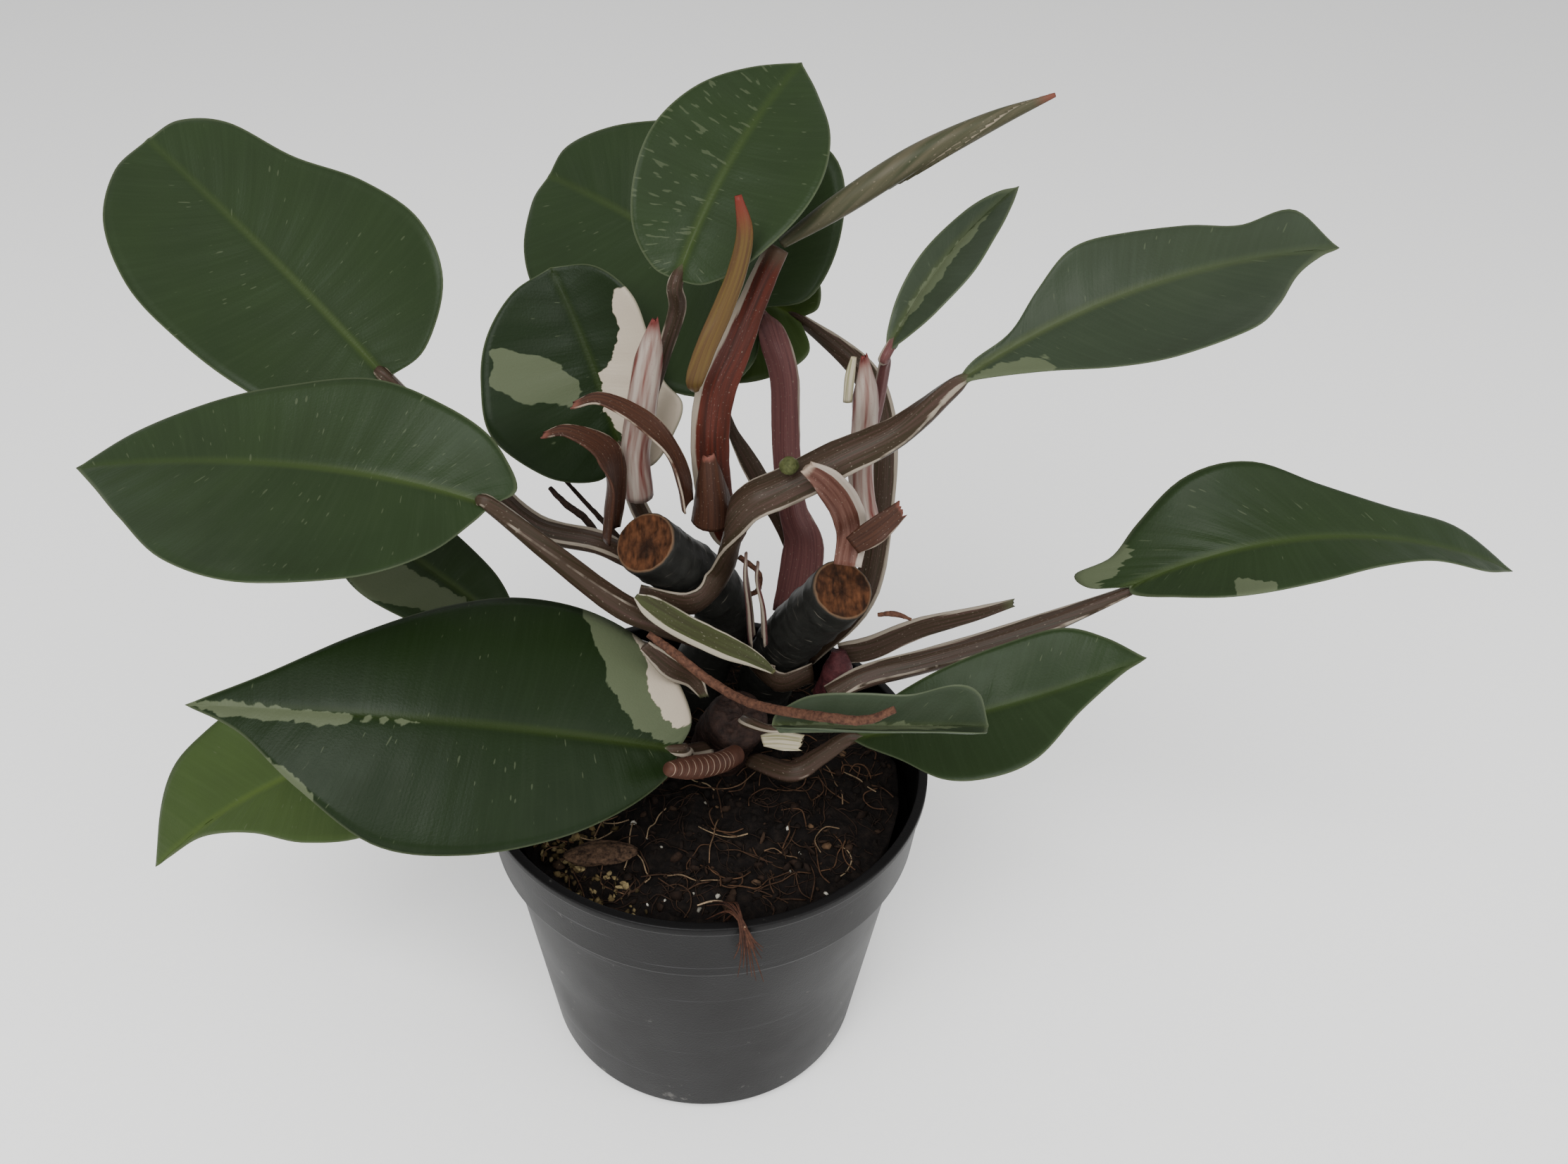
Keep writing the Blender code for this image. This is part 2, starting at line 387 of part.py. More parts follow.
def bands():
    """Every petiole, sheath and strap. Each station is a place, its width, its thickness, how far each edge
    cups towards its face in degrees, and that face. A wrapped band cups round its own line."""
    return [
        Band("petiole_upper_left", OLIVE, False, [
            ((-18, 16, 148), 6, 5, 40, UP),
            ((-27, 15, 154), 7, 5, 50, UP),
            ((-43, 18, 157), 7, 5, 50, UP),
            ((-57, 22, 170), 6, 5, 50, UP),
            (joint("blade_upper_left"), 4, 4, 30, UP)]),
        Band("petiole_left", OLIVE, False, [
            (seat("stem_right", .68, 50, 2, 1.3), 8, 2, 4, (-.8, .6, 0)),
            (seat("stem_right", .66, 0, 3, .8), 9, 3, 4, (0, 1, .3)),
            (seat("stem_right", .68, -45, 3, .8), 9, 3, 8, (.5, .8, .3)),
            ((-2, -6, 140), 8, 5, 50, (.2, .5, .8)),
            ((-12, -11, 149), 8, 6, 50, (.2, .5, .8)),
            ((-23, -13, 158), 7, 6, 40, (.2, .4, .9)),
            (joint("blade_left"), 4, 4, 30, UP)]),
        Band("petiole_lower_left", OLIVE, False, [
            (seat("stem_front", .86, -40, 4), 6, 4, 10, (0, 0, 1)),
            ((-5, -20, 114), 6, 5, 30, UP),
            (joint("blade_lower_left"), 4, 4, 20, UP)]),
        Band("petiole_drooping", OLIVE, False, [
            (seat("stem_front", .62, -90, 4), 5, 4, 10, (0, 0, 1)),
            ((-24, 2, 109), 5, 4, 30, UP),
            ((-44, -3, 114), 5, 4, 30, UP),
            (joint("blade_drooping"), 3, 3, 20, UP)]),
        Band("petiole_inner_left", OLIVE, False, [
            (seat("stem_left", .42, -90, 4), 5, 4, 10, (0, 0, 1)),
            ((-32, 30, 113), 5, 4, 30, UP),
            (joint("blade_inner_left"), 3, 3, 20, UP)]),
        Band("petiole_cream", OLIVE, False, [
            (seat("stem_left", .66, -120, 4), 5, 4, 10, FRONT),
            ((-17, 30, 155), 5, 4, 30, FRONT),
            (joint("blade_cream"), 3, 3, 20, FRONT)]),
        Band("petiole_top", OLIVE, False, [
            ((-16, 15, 170), 3, 3, 20, FRONT),
            ((-16, 16, 182), 3, 3, 30, FRONT),
            ((-12.5, 18.5, 193.5), 3, 3, 30, FRONT),
            ((-9, 16.5, 206.5), 3.5, 3.5, 30, FRONT),
            ((-6, 14, 217.5), 4, 3.5, 30, FRONT),
            (joint("blade_top"), 3.5, 3, 20, FRONT)]),
        Band("petiole_back", MAROON, False, [
            (seat("stem_right", .66, 170, 6), 12, 6, 10, FRONT),
            ((27, 36, 139), 12, 5, 40, FRONT),
            ((23.5, 33, 153), 8, 6, 40, FRONT),
            ((21, 30.5, 171), 7.5, 6, 40, FRONT),
            ((20, 33.5, 190), 7.5, 6, 40, FRONT),
            ((17, 38, 200), 7, 5, 30, FRONT),
            (joint("blade_back", 4.0), 2.4, 2.4, 20, FRONT)]),
        Band("petiole_back_low", OLIVE, False, [
            (seat("stem_right", .5, 120, 5), 7, 5, 10, FRONT),
            ((43, 27, 128), 8, 5, 50, FRONT),
            ((46, 30, 154), 8, 5, 50, FRONT),
            ((46, 38, 175), 8, 5, 50, FRONT),
            ((41, 48, 186), 7, 5, 40, FRONT),
            (joint("blade_back_low", 1.0), 3, 3, 20, FRONT)]),
        Band("petiole_rolled", RED, False, [
            ((8, 17.5, 153.5), 7, 5, 30, FRONT),
            ((5, 16, 158), 8, 6, 40, FRONT),
            ((2.5, 10, 172), 9, 6, 40, FRONT),
            ((1.5, 7.5, 183), 9.5, 7, 40, FRONT),
            ((1.5, 6.5, 193), 9.5, 7, 40, FRONT),
            ((3, 7.5, 202), 9.5, 7, 40, FRONT),
            ((6.5, 11, 209), 8.5, 6, 40, FRONT),
            ((10, 16, 216), 7, 6, 40, FRONT),
            ((13.5, 20, 223), 6, 5, 30, FRONT),
            ((16.5, 21.5, 229), 5, 4, 20, FRONT)]),
        Band("petiole_narrow", MAROON, False, [
            ((38.5, 19, 167), 2.5, 2.5, 20, FRONT),
            ((39.5, 19, 179.5), 2.8, 2.5, 30, FRONT),
            ((41, 17.5, 190), 3, 3, 30, FRONT),
            ((41.5, 14, 204), 2.8, 2.6, 30, FRONT),
            (joint("blade_narrow"), 2.5, 2.5, 20, FRONT)]),
        Band("petiole_right_upper", OLIVE, False, [
            (seat("stem_left", .93, -60, 2, 1.2), 7, 2, 4, (1, .4, 0)),
            (seat("stem_left", .88, 0, 3, .8), 9, 3, 4, (0, 1, .3)),
            (seat("stem_left", .87, 60, 3, 1.2), 9, 3, 6, (-.6, .8, .3)),
            ((9, -4.5, 176), 9, 6, 20, (-.3, -.6, .7)),
            ((19.5, -3.5, 182), 10, 7, 20, (-.2, -.6, .8)),
            ((31, -1, 187.5), 9.5, 6.5, 20, (-.1, -.6, .8)),
            ((44, 0.5, 194), 7.5, 6, 30, (0, -.5, .9)),
            (joint("blade_right_upper"), 4, 5, 30, UP)]),
        Band("petiole_right_lower", OLIVE, False, [
            ((32, -3, 119), 5, 4, 30, UP),
            ((42, 0, 122.5), 6.5, 5, 50, UP),
            ((57, 0, 127.5), 7, 5, 50, UP),
            ((79, -1, 137), 7, 5, 50, UP),
            (joint("blade_right_lower", 2.2), 3, 2.4, 20, UP)]),
        Band("petiole_bottom_right", BROWN, False, [
            (seat("stem_front", .85, 40, 4), 6, 4, 10, (0, 0, 1)),
            ((22, -19, 107), 6, 5, 30, UP),
            ((29, -17, 110), 5, 4, 30, UP),
            (joint("blade_bottom_right"), 4, 4, 20, UP)]),
        Band("petiole_folded", BROWN, False, [
            ((10, -19, 124), 3, 3, 20, UP),
            ((10, -29, 133), 3, 3, 20, UP),
            (joint("blade_folded", 1.5), 2, 2, 20, UP)]),
        Band("sheath_top", CREAM, True, [
            ((-16, 15.5, 168), 13, 1, 110, BEHIND),
            ((-16.5, 14.5, 180), 16, 1, 140, BEHIND),
            ((-15, 13, 191), 15.5, 1, 130, BEHIND),
            ((-13, 11.5, 204), 10, 1, 90, BEHIND),
            ((-11.5, 9.5, 213), 5, 0.8, 50, BEHIND),
            ((-10.5, 8, 220), 1.2, 0.8, 10, BEHIND)]),
        Band("sheath_narrow", CREAM, True, [
            ((42, 14, 159), 6, 1, 60, BEHIND),
            ((40, 15.5, 164), 9, 1, 90, BEHIND),
            ((38, 14.5, 176), 13, 1, 130, BEHIND),
            ((38, 13.5, 187), 13, 1, 130, BEHIND),
            ((37.5, 11.5, 196), 9, 1, 90, BEHIND),
            ((36.5, 10.5, 204), 4, 0.8, 50, BEHIND),
            ((35.5, 10, 210), 1.2, 0.8, 10, BEHIND)]),
        Band("cataphyll_brown_left", BROWN, False, [
            ((-24, 7, 162), 10, 1.4, 60, RIGHT),
            ((-23, 6, 171.5), 12, 1.4, 60, RIGHT),
            ((-22, 5, 180), 11, 1.4, 50, RIGHT),
            ((-24, 5, 187), 8, 1.2, 30, UP),
            ((-31.5, 5, 191.5), 4, 1, 20, UP),
            ((-37, 5, 190.5), 1.6, 0.8, 10, UP)]),
        Band("cataphyll_long", BROWN, False, [
            ((-4.5, -1, 175), 7, 1.2, 40, RIGHT),
            ((-5.5, -1, 182), 8, 1.2, 40, RIGHT),
            ((-8, 0, 189), 7, 1.2, 40, RIGHT),
            ((-13.5, 2, 195.5), 6, 1.2, 30, UP),
            ((-23, 3.5, 200.5), 4, 1, 20, UP),
            ((-29.5, 3.5, 199), 1.8, 0.8, 10, UP)]),
        Band("cataphyll_rolled", BROWN, False, [
            ((2, 1.5, 167), 12, 2, 60, BEHIND),
            ((2, 0, 174), 11, 2, 70, BEHIND),
            ((1.5, -1.5, 182), 7, 1.6, 60, BEHIND),
            ((1, -2, 189), 2.5, 1.2, 30, BEHIND)]),
        Band("spike_rolled", TAN, False, [
            ((-2, 3, 203), 1.6, 1, 10, FRONT),
            ((-2, -0.5, 207.5), 4, 1.6, 20, FRONT),
            ((0.5, 0, 215), 4.5, 2, 20, FRONT),
            ((4, 2.5, 222.5), 4.5, 3, 20, FRONT),
            ((7, 4, 230.5), 4, 3, 20, FRONT),
            ((8.5, 5, 238.5), 3.5, 2.5, 20, FRONT),
            ((7, 6, 246), 1.5, 1, 10, FRONT)]),
        Band("spike_narrow", RED, False, [
            ((33, 9, 197), 2, 1, 20, FRONT),
            ((33, 8, 204), 2.2, 1, 20, FRONT),
            ((33.5, 7.5, 209), 1.2, 0.8, 10, FRONT)]),
        Band("strap_left", BROWN, False, [
            ((34, -4.5, 160.5), 7, 1.2, 40, FRONT),
            ((35, 0, 167), 8, 1.2, 50, FRONT),
            ((32.5, -3, 176.5), 8.5, 1.2, 50, FRONT),
            ((27.5, -8, 186), 7, 1.2, 40, FRONT),
            ((22.5, -11, 191.5), 3, 1, 20, FRONT)]),
        Band("strap_right", OLIVE, False, [
            ((35, -4.5, 166.5), 5, 1.5, 30, FRONT),
            ((40, -5, 171), 6.5, 1.5, 40, FRONT),
            ((46, -2, 175), 4, 1.5, 30, FRONT)]),
        Band("shoot_horn_left", MAROON, False, [
            ((12, 8, 128), 5, 1, 50, RIGHT),
            ((11, 4, 142), 4, 1, 50, RIGHT),
            ((10, 0, 154), 3, 1, 30, RIGHT),
            ((10, -3, 163), 1.2, .8, 10, RIGHT)]),
        Band("shoot_horn_right", MAROON, False, [
            ((16, 5, 130), 4, 1, 50, LEFT),
            ((15, 3, 142), 3, 1, 50, LEFT),
            ((13, 1, 152), 2, 1, 30, LEFT),
            ((13, -1, 159), 1.2, .8, 10, LEFT)]),
        Band("sheath_wing", OLIVE, False, [
            ((37, 17, 116.5), 6, 2, 20, FRONT),
            ((45, 16.5, 119), 7, 2, 30, FRONT),
            ((57, 16, 126), 6, 2, 30, FRONT),
            ((71, 13, 133), 4, 1.5, 20, FRONT),
            ((80, 11, 138), 2, 1, 10, FRONT)]),
        Band("sheath_low", CREAM, False, [
            ((-14, -18, 147), 3, 1, 20, FRONT),
            ((-8, -16, 139), 6, 1, 40, FRONT),
            ((-3, -12, 132), 5, 1, 40, FRONT),
            ((0, -12, 126), 2, 1, 10, FRONT)]),
        Band("sheath_torn", CREAM, False, [
            ((14, -29, 127), 3, 1, 20, FRONT),
            ((18, -31, 129), 5, 1, 30, FRONT),
            ((23, -33, 130), 4, 1, 20, FRONT)]),
        Band("petiole_stump", OLIVE, False, [
            ((18, 42, 150), 6, 4, 30, FRONT),
            ((12, 44, 161), 5, 3, 30, FRONT),
            ((8, 46, 168), 3, 2, 20, FRONT),
            ((6, 46, 174), 2, 1.5, 10, FRONT)]),
    ]


def build_blade(leaf, collection, rows=12, columns=4):
    """A blade as a sheet of rows that sweep from the midrib to the edge, then given its thickness."""
    length = blade_length(leaf)
    points = [blade_frame(leaf, length, LEAF_GAP)[0]]
    for row in range(1, rows + 1):
        turn = row / (rows + 1)
        rib = LEAF_GAP + (length - LEAF_GAP) * turn ** 1.3
        for side in (-1, 1):
            edge_x, edge_across = outline(leaf, length, turn, side)
            for column in range(1, columns + 1):
                share = column / columns
                x = rib + (edge_x - rib) * share
                points.append(blade_point(leaf, length, x, edge_across * share, side))
        points.append(blade_frame(leaf, length, rib)[0])
    points.append(blade_frame(leaf, length, length)[0])

    def index(row, side, column):
        if row == 0:
            return 0
        if row == rows + 1:
            return len(points) - 1
        start = 1 + (row - 1) * (2 * columns + 1)
        if column == 0:
            return start + 2 * columns
        return start + (columns if side > 0 else 0) + column - 1

    faces = []
    for row in range(rows + 1):
        for side in (-1, 1):
            for column in range(columns):
                corners = [index(row, side, column), index(row, side, column + 1),
                           index(row + 1, side, column + 1), index(row + 1, side, column)]
                kept = [c for i, c in enumerate(corners) if c != corners[i - 1]]
                faces.append(kept if side < 0 else kept[::-1])
    obj = add_mesh(leaf.name, points, faces, collection, leaf.colour, 0.5)
    solidify = obj.modifiers.new("thickness", "SOLIDIFY")
    solidify.thickness = BLADE_THICKNESS
    solidify.offset = 0
    return obj


def band_section(place, ahead, face, width, thickness, cup, wrapped, half=4):
    """A closed loop round a cupped strip: along its under side, then back along its upper side."""
    face = Vector(face)
    normal = (face - ahead * face.dot(ahead)).normalized()
    sideways = ahead.cross(normal)
    sweep = math.radians(max(cup, 1.0))
    radius = width / 2 / sweep
    middle = place if wrapped else place + normal * radius
    under = []
    upper = []
    for i in range(half + 1):
        share = -1 + 2 * i / half
        angle = sweep * share
        body = max(thickness * (1 - abs(share) ** 2.5), 0.5) / 2
        out = sideways * math.sin(angle) - normal * math.cos(angle)
        under.append(middle + out * (radius + body))
        upper.append(middle + out * (radius - min(body, radius * 0.8)))
    return under + upper[::-1]


def build_band(band, collection):
    """A petiole, sheath or strap lofted through its stations."""
    places = [lifted(s[0]) for s in band.stations]
    last = len(places) - 1
    steps = last * 2
    loops = []
    for i in range(steps + 1):
        t = i / steps
        values = [spline([(s[k], 0, 0) for s in band.stations], t).x for k in (1, 2, 3)]
        face = spline([s[4] for s in band.stations], t)
        ahead = spline_tangent(places, t)
        loops.append(band_section(spline(places, t), ahead, face, *values, band.wrapped))
    size = len(loops[0])
    points = [p for loop in loops for p in loop]
    faces = [list(range(size))]
    faces.append([steps * size + i for i in reversed(range(size))])
    for i in range(steps):
        for k in range(size):
            a = i * size + k
            b = i * size + (k + 1) % size
            faces.append([b, a, a + size, b + size])
    return add_mesh(band.name, points, faces, collection, band.colour, 0.5)


def build_rolled_blade(collection):
    """The young leaf that is still rolled: a spindle over its petiole."""
    stations = [((18, 22, 231), 1.4), ((30, 18, 240.5), 2.7), ((45, 18, 250), 2.9), ((60, 20, 256), 2.0),
                ((73, 21, 261), 0.6)]
    add_object("blade_rolled", tube_curve("blade_rolled", smooth_stations(stations, 11), 2), collection, TAUPE)


def build_rounds(collection):
    for name, colour, stations in ROUNDS:
        curve = tube_curve(name, smooth_stations(stations, 4 * len(stations) - 3), 2)
        add_object(name, curve, collection, colour)


def build_bark_chip(collection):
    mesh = bpy.data.meshes.new("bark_chip")
    corners = [(-9, -2.5), (-3, -4), (6, -3.5), (9, 0), (5, 3.5), (-4, 3), (-8.5, 1.5)]
    floor = SOIL_TOP + SOIL_CROWN + CLEARANCE
    points = [(-26 + x, -32 + y, floor) for x, y in corners]
    mesh.from_pydata(points, [], [list(range(len(corners)))])
    obj = add_object("bark_chip", mesh, collection, (0.12, 0.075, 0.04), 0.9)
    solidify = obj.modifiers.new("thickness", "SOLIDIFY")
    solidify.thickness = 2.5
    solidify.offset = 1
    return obj


def build_root_fibre(collection):
    """A dry fibre that lies over the front of the rim and hangs down."""
    over = POT_HEIGHT + 1.5
    front = -RIM_RADIUS - 1.5
    route = [(5, front + 14, SOIL_TOP + 5), (7, front + 6, over), (9, front, over - 1),
             (10, front - .5, over - 8), (11, front - .3, over - 20)]
    stations = [(place, 0.8) for place in route]
    add_object("root_fibre", tube_curve("root_fibre", stations, 2), collection, BROWN)


def clear_scene():
    for obj in list(bpy.data.objects):
        bpy.data.objects.remove(obj, do_unlink=True)


def new_collection(name):
    collection = bpy.data.collections.new(name)
    bpy.context.scene.collection.children.link(collection)
    return collection


def main():
    clear_scene()
    plant = new_collection("potted_philodendron")
    cutters = new_collection("cutters")
    cutters.hide_render = True
    build_pot(plant, cutters)
    build_soil(plant, cutters)
    build_bark_chip(plant)
    build_root_fibre(plant)
    build_stems(plant)
    for leaf in LEAVES:
        build_blade(leaf, plant)
    build_rolled_blade(plant)
    for band in bands():
        build_band(band, plant)
    build_rounds(plant)


main()
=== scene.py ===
"""Potted philodendron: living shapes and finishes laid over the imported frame.

The tables are in millimetres in the frame's own axes: the pot's underside centre is the origin, +Z is up and -Y
is the front. Every piece is checked against the box of the frame node that it stands for.
"""
import bpy
import bmesh
import math
import random
from collections import namedtuple
from mathutils import Euler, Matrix
from mathutils import Vector
from mathutils import noise


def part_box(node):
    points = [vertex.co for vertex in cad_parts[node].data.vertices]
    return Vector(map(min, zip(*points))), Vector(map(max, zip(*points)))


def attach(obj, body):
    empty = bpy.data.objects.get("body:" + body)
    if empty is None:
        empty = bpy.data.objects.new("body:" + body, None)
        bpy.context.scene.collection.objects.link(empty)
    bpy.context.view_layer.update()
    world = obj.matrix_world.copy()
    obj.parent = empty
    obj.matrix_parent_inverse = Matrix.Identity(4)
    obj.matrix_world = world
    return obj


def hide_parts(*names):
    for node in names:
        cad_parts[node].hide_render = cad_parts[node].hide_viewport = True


bl_info = {
    "name": "Potted Philodendron",
    "version": (1, 0, 0),
    "blender": (4, 5, 0),
    "location": "View3D > Sidebar > Philodendron",
    "description": "Builds a potted philodendron with its leaves, stems, peat and pot over a packed frame",
    "category": "Add Mesh",
}

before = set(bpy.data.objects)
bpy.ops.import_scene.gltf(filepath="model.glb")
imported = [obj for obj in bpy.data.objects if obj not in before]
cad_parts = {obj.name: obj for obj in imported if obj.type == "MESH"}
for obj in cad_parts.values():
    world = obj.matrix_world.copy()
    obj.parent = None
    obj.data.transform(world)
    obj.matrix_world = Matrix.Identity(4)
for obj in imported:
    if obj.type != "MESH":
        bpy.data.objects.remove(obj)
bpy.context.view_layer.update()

MM = 0.001
BODY = "root"
POT_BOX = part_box("pot")
RIM_RADIUS = POT_BOX[1].x / MM
POT_HEIGHT = POT_BOX[1].z / MM
SOIL_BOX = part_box("soil")
SOIL_RADIUS = SOIL_BOX[1].x / MM
SOIL_PEAK = SOIL_BOX[1].z / MM
STEM_RADIUS = 8.3
CLEARANCE = 0.4
LEAF_GAP = 0.5
JOINT_GAP = 1.2
RING_SPACING = 1.3
SCAR_PLACES = (0.42, 0.55, 0.66, 0.765, 0.86, 0.945)    # shares of a stem's length
SCAR_WIDTH = 0.006
CLOD_SIZE = 9.0
GRAIN_SIZE = 2.2
SOIL_SETTLES = 1.6
SOIL_DISH = 2.0    # how much lower the peat lies at the pot's wall
DRAIN_HOLES = 6
DRAIN_RING = 32.0
DRAIN_RADIUS = 4.0

# The camera: its place in metres, how far it looks down in degrees, and its lens
CAMERA_PLACE = (0.0, -0.2521, 0.3332)
CAMERA_DOWN = 35.63
LENS_LENGTH = 29.1
SENSOR_WIDTH = 36.0
LENS_SHIFT = 0.051
LIGHT_TARGET = (0, 0, 0.1)

# Leaf greens that the table of leaves names: the leaf green, its darker, greyer and lighter copies that carry
# painted shade, painted sheen and painted light, and cream
GREEN = "leaf_green"
PAINTED_LIGHT_GREEN = "leaf_bright"
PAINTED_SHADE_GREEN = "leaf_dark"
PAINTED_SHEEN_GREEN = "leaf_grey"
CREAM = "cream"

Leaf = namedtuple("Leaf", "name base mid tip face face_tip left right fold curl wave colour")
Band = namedtuple("Band", "name wrapped stations")
Patch = namedtuple("Patch", "leaf kind edge")

STEMS = {
    "stem_left": [(-6, 33, 63), (-3, 33, 92), (5, 23, 128), (-14, 0, 164)],
    "stem_right": [(17, 32, 63), (17, 32, 88), (22, 21, 116), (34, 0, 150)],
    "stem_front": [(4, 8, 63), (4, 6, 89), (6, 1, 102), (9, -6, 113)],
}

# A blade runs from its base over its middle to its tip. face is the way its upper side looks at the base and
# face_tip at the tip. left and right are the outline of each half, seen from above with the tip ahead: places
# (along, across) from the base. fold and curl, in degrees, lift the halves and their edges, and wave ripples them.
LEAVES = [
    Leaf("blade_upper_left", (-76, 23, 196), (-106, 49, 215), (-143, 79, 236), (-.2, -.6, .8), (-.2, -.5, .8),
         [(-2, 9), (8, 22), (25, 28), (45, 31), (65, 31), (83, 24), (94, 12)],
         [(-2, 12), (6, 27), (22, 33), (42, 30), (62, 22), (82, 17), (93, 9)], 6, (8, 14), 1.0, GREEN),
    Leaf("blade_left", (-47, -15, 184), (-92, -6, 189), (-149, 8, 180), (.0, -.5, .87), (.0, -.4, .9),
         [(3, 6), (11, 18), (26, 31), (46, 38), (68, 32), (86, 18), (98, 7)],
         [(-4, 6), (5, 14), (20, 19), (40, 23), (60, 19), (78, 14), (94, 8)], 5, (14, 10), 1.5, GREEN),
    Leaf("blade_lower_left", (-6, -27, 122), (-58, -40, 143), (-116, -38, 146), (-.1, -.6, .8), (.1, -.5, .85),
         [(3, 7), (14, 16), (30, 24), (50, 29), (70, 28), (88, 17), (102, 6)],
         [(-3, 9), (6, 23), (23, 32), (42, 34), (60, 29), (80, 19), (99, 8)], 4, (-10, -14), 1.5, PAINTED_SHADE_GREEN),
    Leaf("blade_drooping", (-60, -6, 112), (-106, -16, 103), (-146, -22, 75), (-.1, -.35, .93), (-.6, -.5, .6),
         [(2, 8), (12, 20), (28, 28), (46, 22), (62, 11), (78, 3), (90, 1)],
         [(0, 8), (12, 18), (30, 24), (50, 25), (68, 22), (80, 19), (89, 12)], 6, (6, 6), 1.0, PAINTED_LIGHT_GREEN),
    Leaf("blade_inner_left", (-55, 24, 121), (-76, 27, 140), (-96, 32, 152), (-.1, -.6, .8), (-.2, -.5, .8),
         [(2, 6), (10, 12), (22, 16), (34, 17), (43, 14), (49, 7)],
         [(1, 5), (8, 9), (17, 11), (27, 12), (37, 11), (45, 7)], 8, (10, 10), 0.8, GREEN),
    Leaf("blade_cream", (-20, 22, 175), (-28, 31, 198), (-37, 40, 217), (-.05, -.85, .5), (-.1, -.8, .6),
         [(-4, 8), (1, 20), (14, 29), (28, 27), (39, 21), (47, 11)],
         [(-4, 6), (2, 14), (8, 19), (14, 16), (23, 16), (34, 16), (44, 10)], 5, (10, 12), 1.0, CREAM),
    Leaf("blade_top", (-6, 10, 226), (6, 27, 247), (22, 48, 262), (-.1, -.75, .65), (.0, -.75, .65),
         [(1, 6), (7, 13), (17, 17), (28, 18), (39, 15), (50, 8)],
         [(1, 7), (8, 15), (20, 21), (32, 22), (44, 17), (54, 8)], 7, (12, 12), 1.0, GREEN),
    Leaf("blade_back", (14, 46, 204), (-12, 66, 216), (-42, 90, 223), (.0, -.8, .6), (.0, -.8, .6),
         [(-9, 12), (-6, 28), (12, 36), (34, 37), (52, 32), (65, 22), (73, 9)],
         [(-8, 10), (-4, 26), (8, 39), (28, 38), (48, 27), (64, 18), (73, 9)], 5, (10, 8), 1.5, GREEN),
    Leaf("blade_back_low", (25, 58, 196), (2, 74, 201), (-22, 90, 203), (.1, -.8, .6), (.0, -.8, .6),
         [(-8, 7), (-5, 17), (4, 26), (20, 29), (38, 22), (50, 10)],
         [(-3, 5), (2, 12), (15, 18), (30, 19), (44, 12), (53, 5)], 5, (8, 8), 1.0, PAINTED_LIGHT_GREEN),
    Leaf("blade_narrow", (41, 10, 209), (55, 24, 226), (72, 36, 238), (-.4, -.6, .7), (-.4, -.6, .7),
         [(4, 2), (12, 4), (24, 5), (36, 4), (45, 2)],
         [(4, 4), (11, 9), (22, 12), (34, 9), (44, 4)], 20, (14, 10), 0.5, PAINTED_SHEEN_GREEN),
    Leaf("blade_right_upper", (55, 0, 206), (91, 2, 227), (135, 8, 234), (-.1, -.55, .8), (.1, -.5, .85),
         [(6, 2), (16, 3), (25, 8), (35, 13), (46, 13), (58, 11), (68, 8), (79, 9)],
         [(8, 4), (20, 11), (32, 19), (44, 25), (56, 26), (66, 17), (75, 7), (82, 2)], 6, (10, 22), 2.0,
         PAINTED_SHEEN_GREEN),
    Leaf("blade_right_lower", (104, 0, 151), (148, -2, 167), (203, 8, 150), (-.1, -.4, .9), (.1, -.35, .9),
         [(-9, 4), (-11, 9), (-1, 9), (8, 14), (22, 20), (38, 20), (54, 14), (72, 9), (90, 7)],
         [(1, 3), (9, 8), (24, 15), (44, 14), (62, 10), (78, 6), (93, 5)], 6, (8, 12), 2.0, GREEN),
    Leaf("blade_bottom_right", (37, -14, 114), (70, -19, 128), (107, -14, 140), (.0, -.35, .93), (.0, -.4, .9),
         [(2, 4), (14, 9), (30, 13), (46, 15), (60, 14), (69, 8)],
         [(4, 3), (14, 9), (24, 17), (34, 19), (44, 17), (56, 8), (68, 2)], 6, (10, 8), 1.0, GREEN),
    Leaf("blade_folded", (15, -38, 140), (38, -44, 145), (62, -46, 147), (.0, -.3, .95), (.1, -.5, .85),
         [(2, 3), (10, 7), (22, 8), (32, 8), (41, 11), (46, 8)],
         [(4, 3), (14, 6), (28, 5), (38, 4), (46, 5)], 35, (22, 22), 0.5, PAINTED_SHEEN_GREEN),
]

# Sectors without green, as outlines in (along, across) on their blade; across is negative on the left half.
PATCHES = [
    Patch("blade_lower_left", "pale", [(26, 33), (22, 22), (19, 12), (13, 4), (4, 1), (-3, 2), (-6, 14),
                                       (6, 30)]),
    Patch("blade_lower_left", "cream", [(15, 33), (10, 20), (9, 14), (6, 8), (1, 5), (-4, 8), (-4, 20),
                                        (6, 30)]),
    Patch("blade_lower_left", "pale", [(118, 1), (104, 1), (88, 0), (62, -1), (86, -3), (106, -3)]),
    Patch("blade_lower_left", "pale", [(96, -11), (89, -14), (83, -19), (86, -24), (98, -16)]),
    Patch("blade_cream", "cream", [(36, 12), (25, 8), (19, 1), (11, -1), (5, 1), (-6, 5), (2, 24), (16, 22),
                                   (36, 22)]),
    Patch("blade_cream", "pale", [(35, -21), (31, -14), (25, -7), (17, -4), (14, -9), (17, -14), (20, -21),
                                  (27, -25)]),
    Patch("blade_inner_left", "pale", [(42, -13), (30, -4), (10, -1), (12, -9), (22, -13), (34, -18)]),
    Patch("blade_right_upper", "pale", [(-2, 0), (10, 2), (20, 6), (22, 12), (10, 8), (0, 6)]),
    Patch("blade_right_lower", "pale", [(-12, -3), (-2, -4), (5, -8), (1, -12), (-13, -10)]),
    Patch("blade_right_lower", "pale", [(25, 9), (35, 12), (32, 18), (24, 17)]),
    Patch("blade_narrow", "pale", [(4, 0), (14, 3), (30, 3), (40, 1), (30, 0), (14, -1)]),
    Patch("blade_folded", "pale", [(2, 0), (10, 3), (30, 3), (44, 1), (30, -1), (10, -1)]),
]
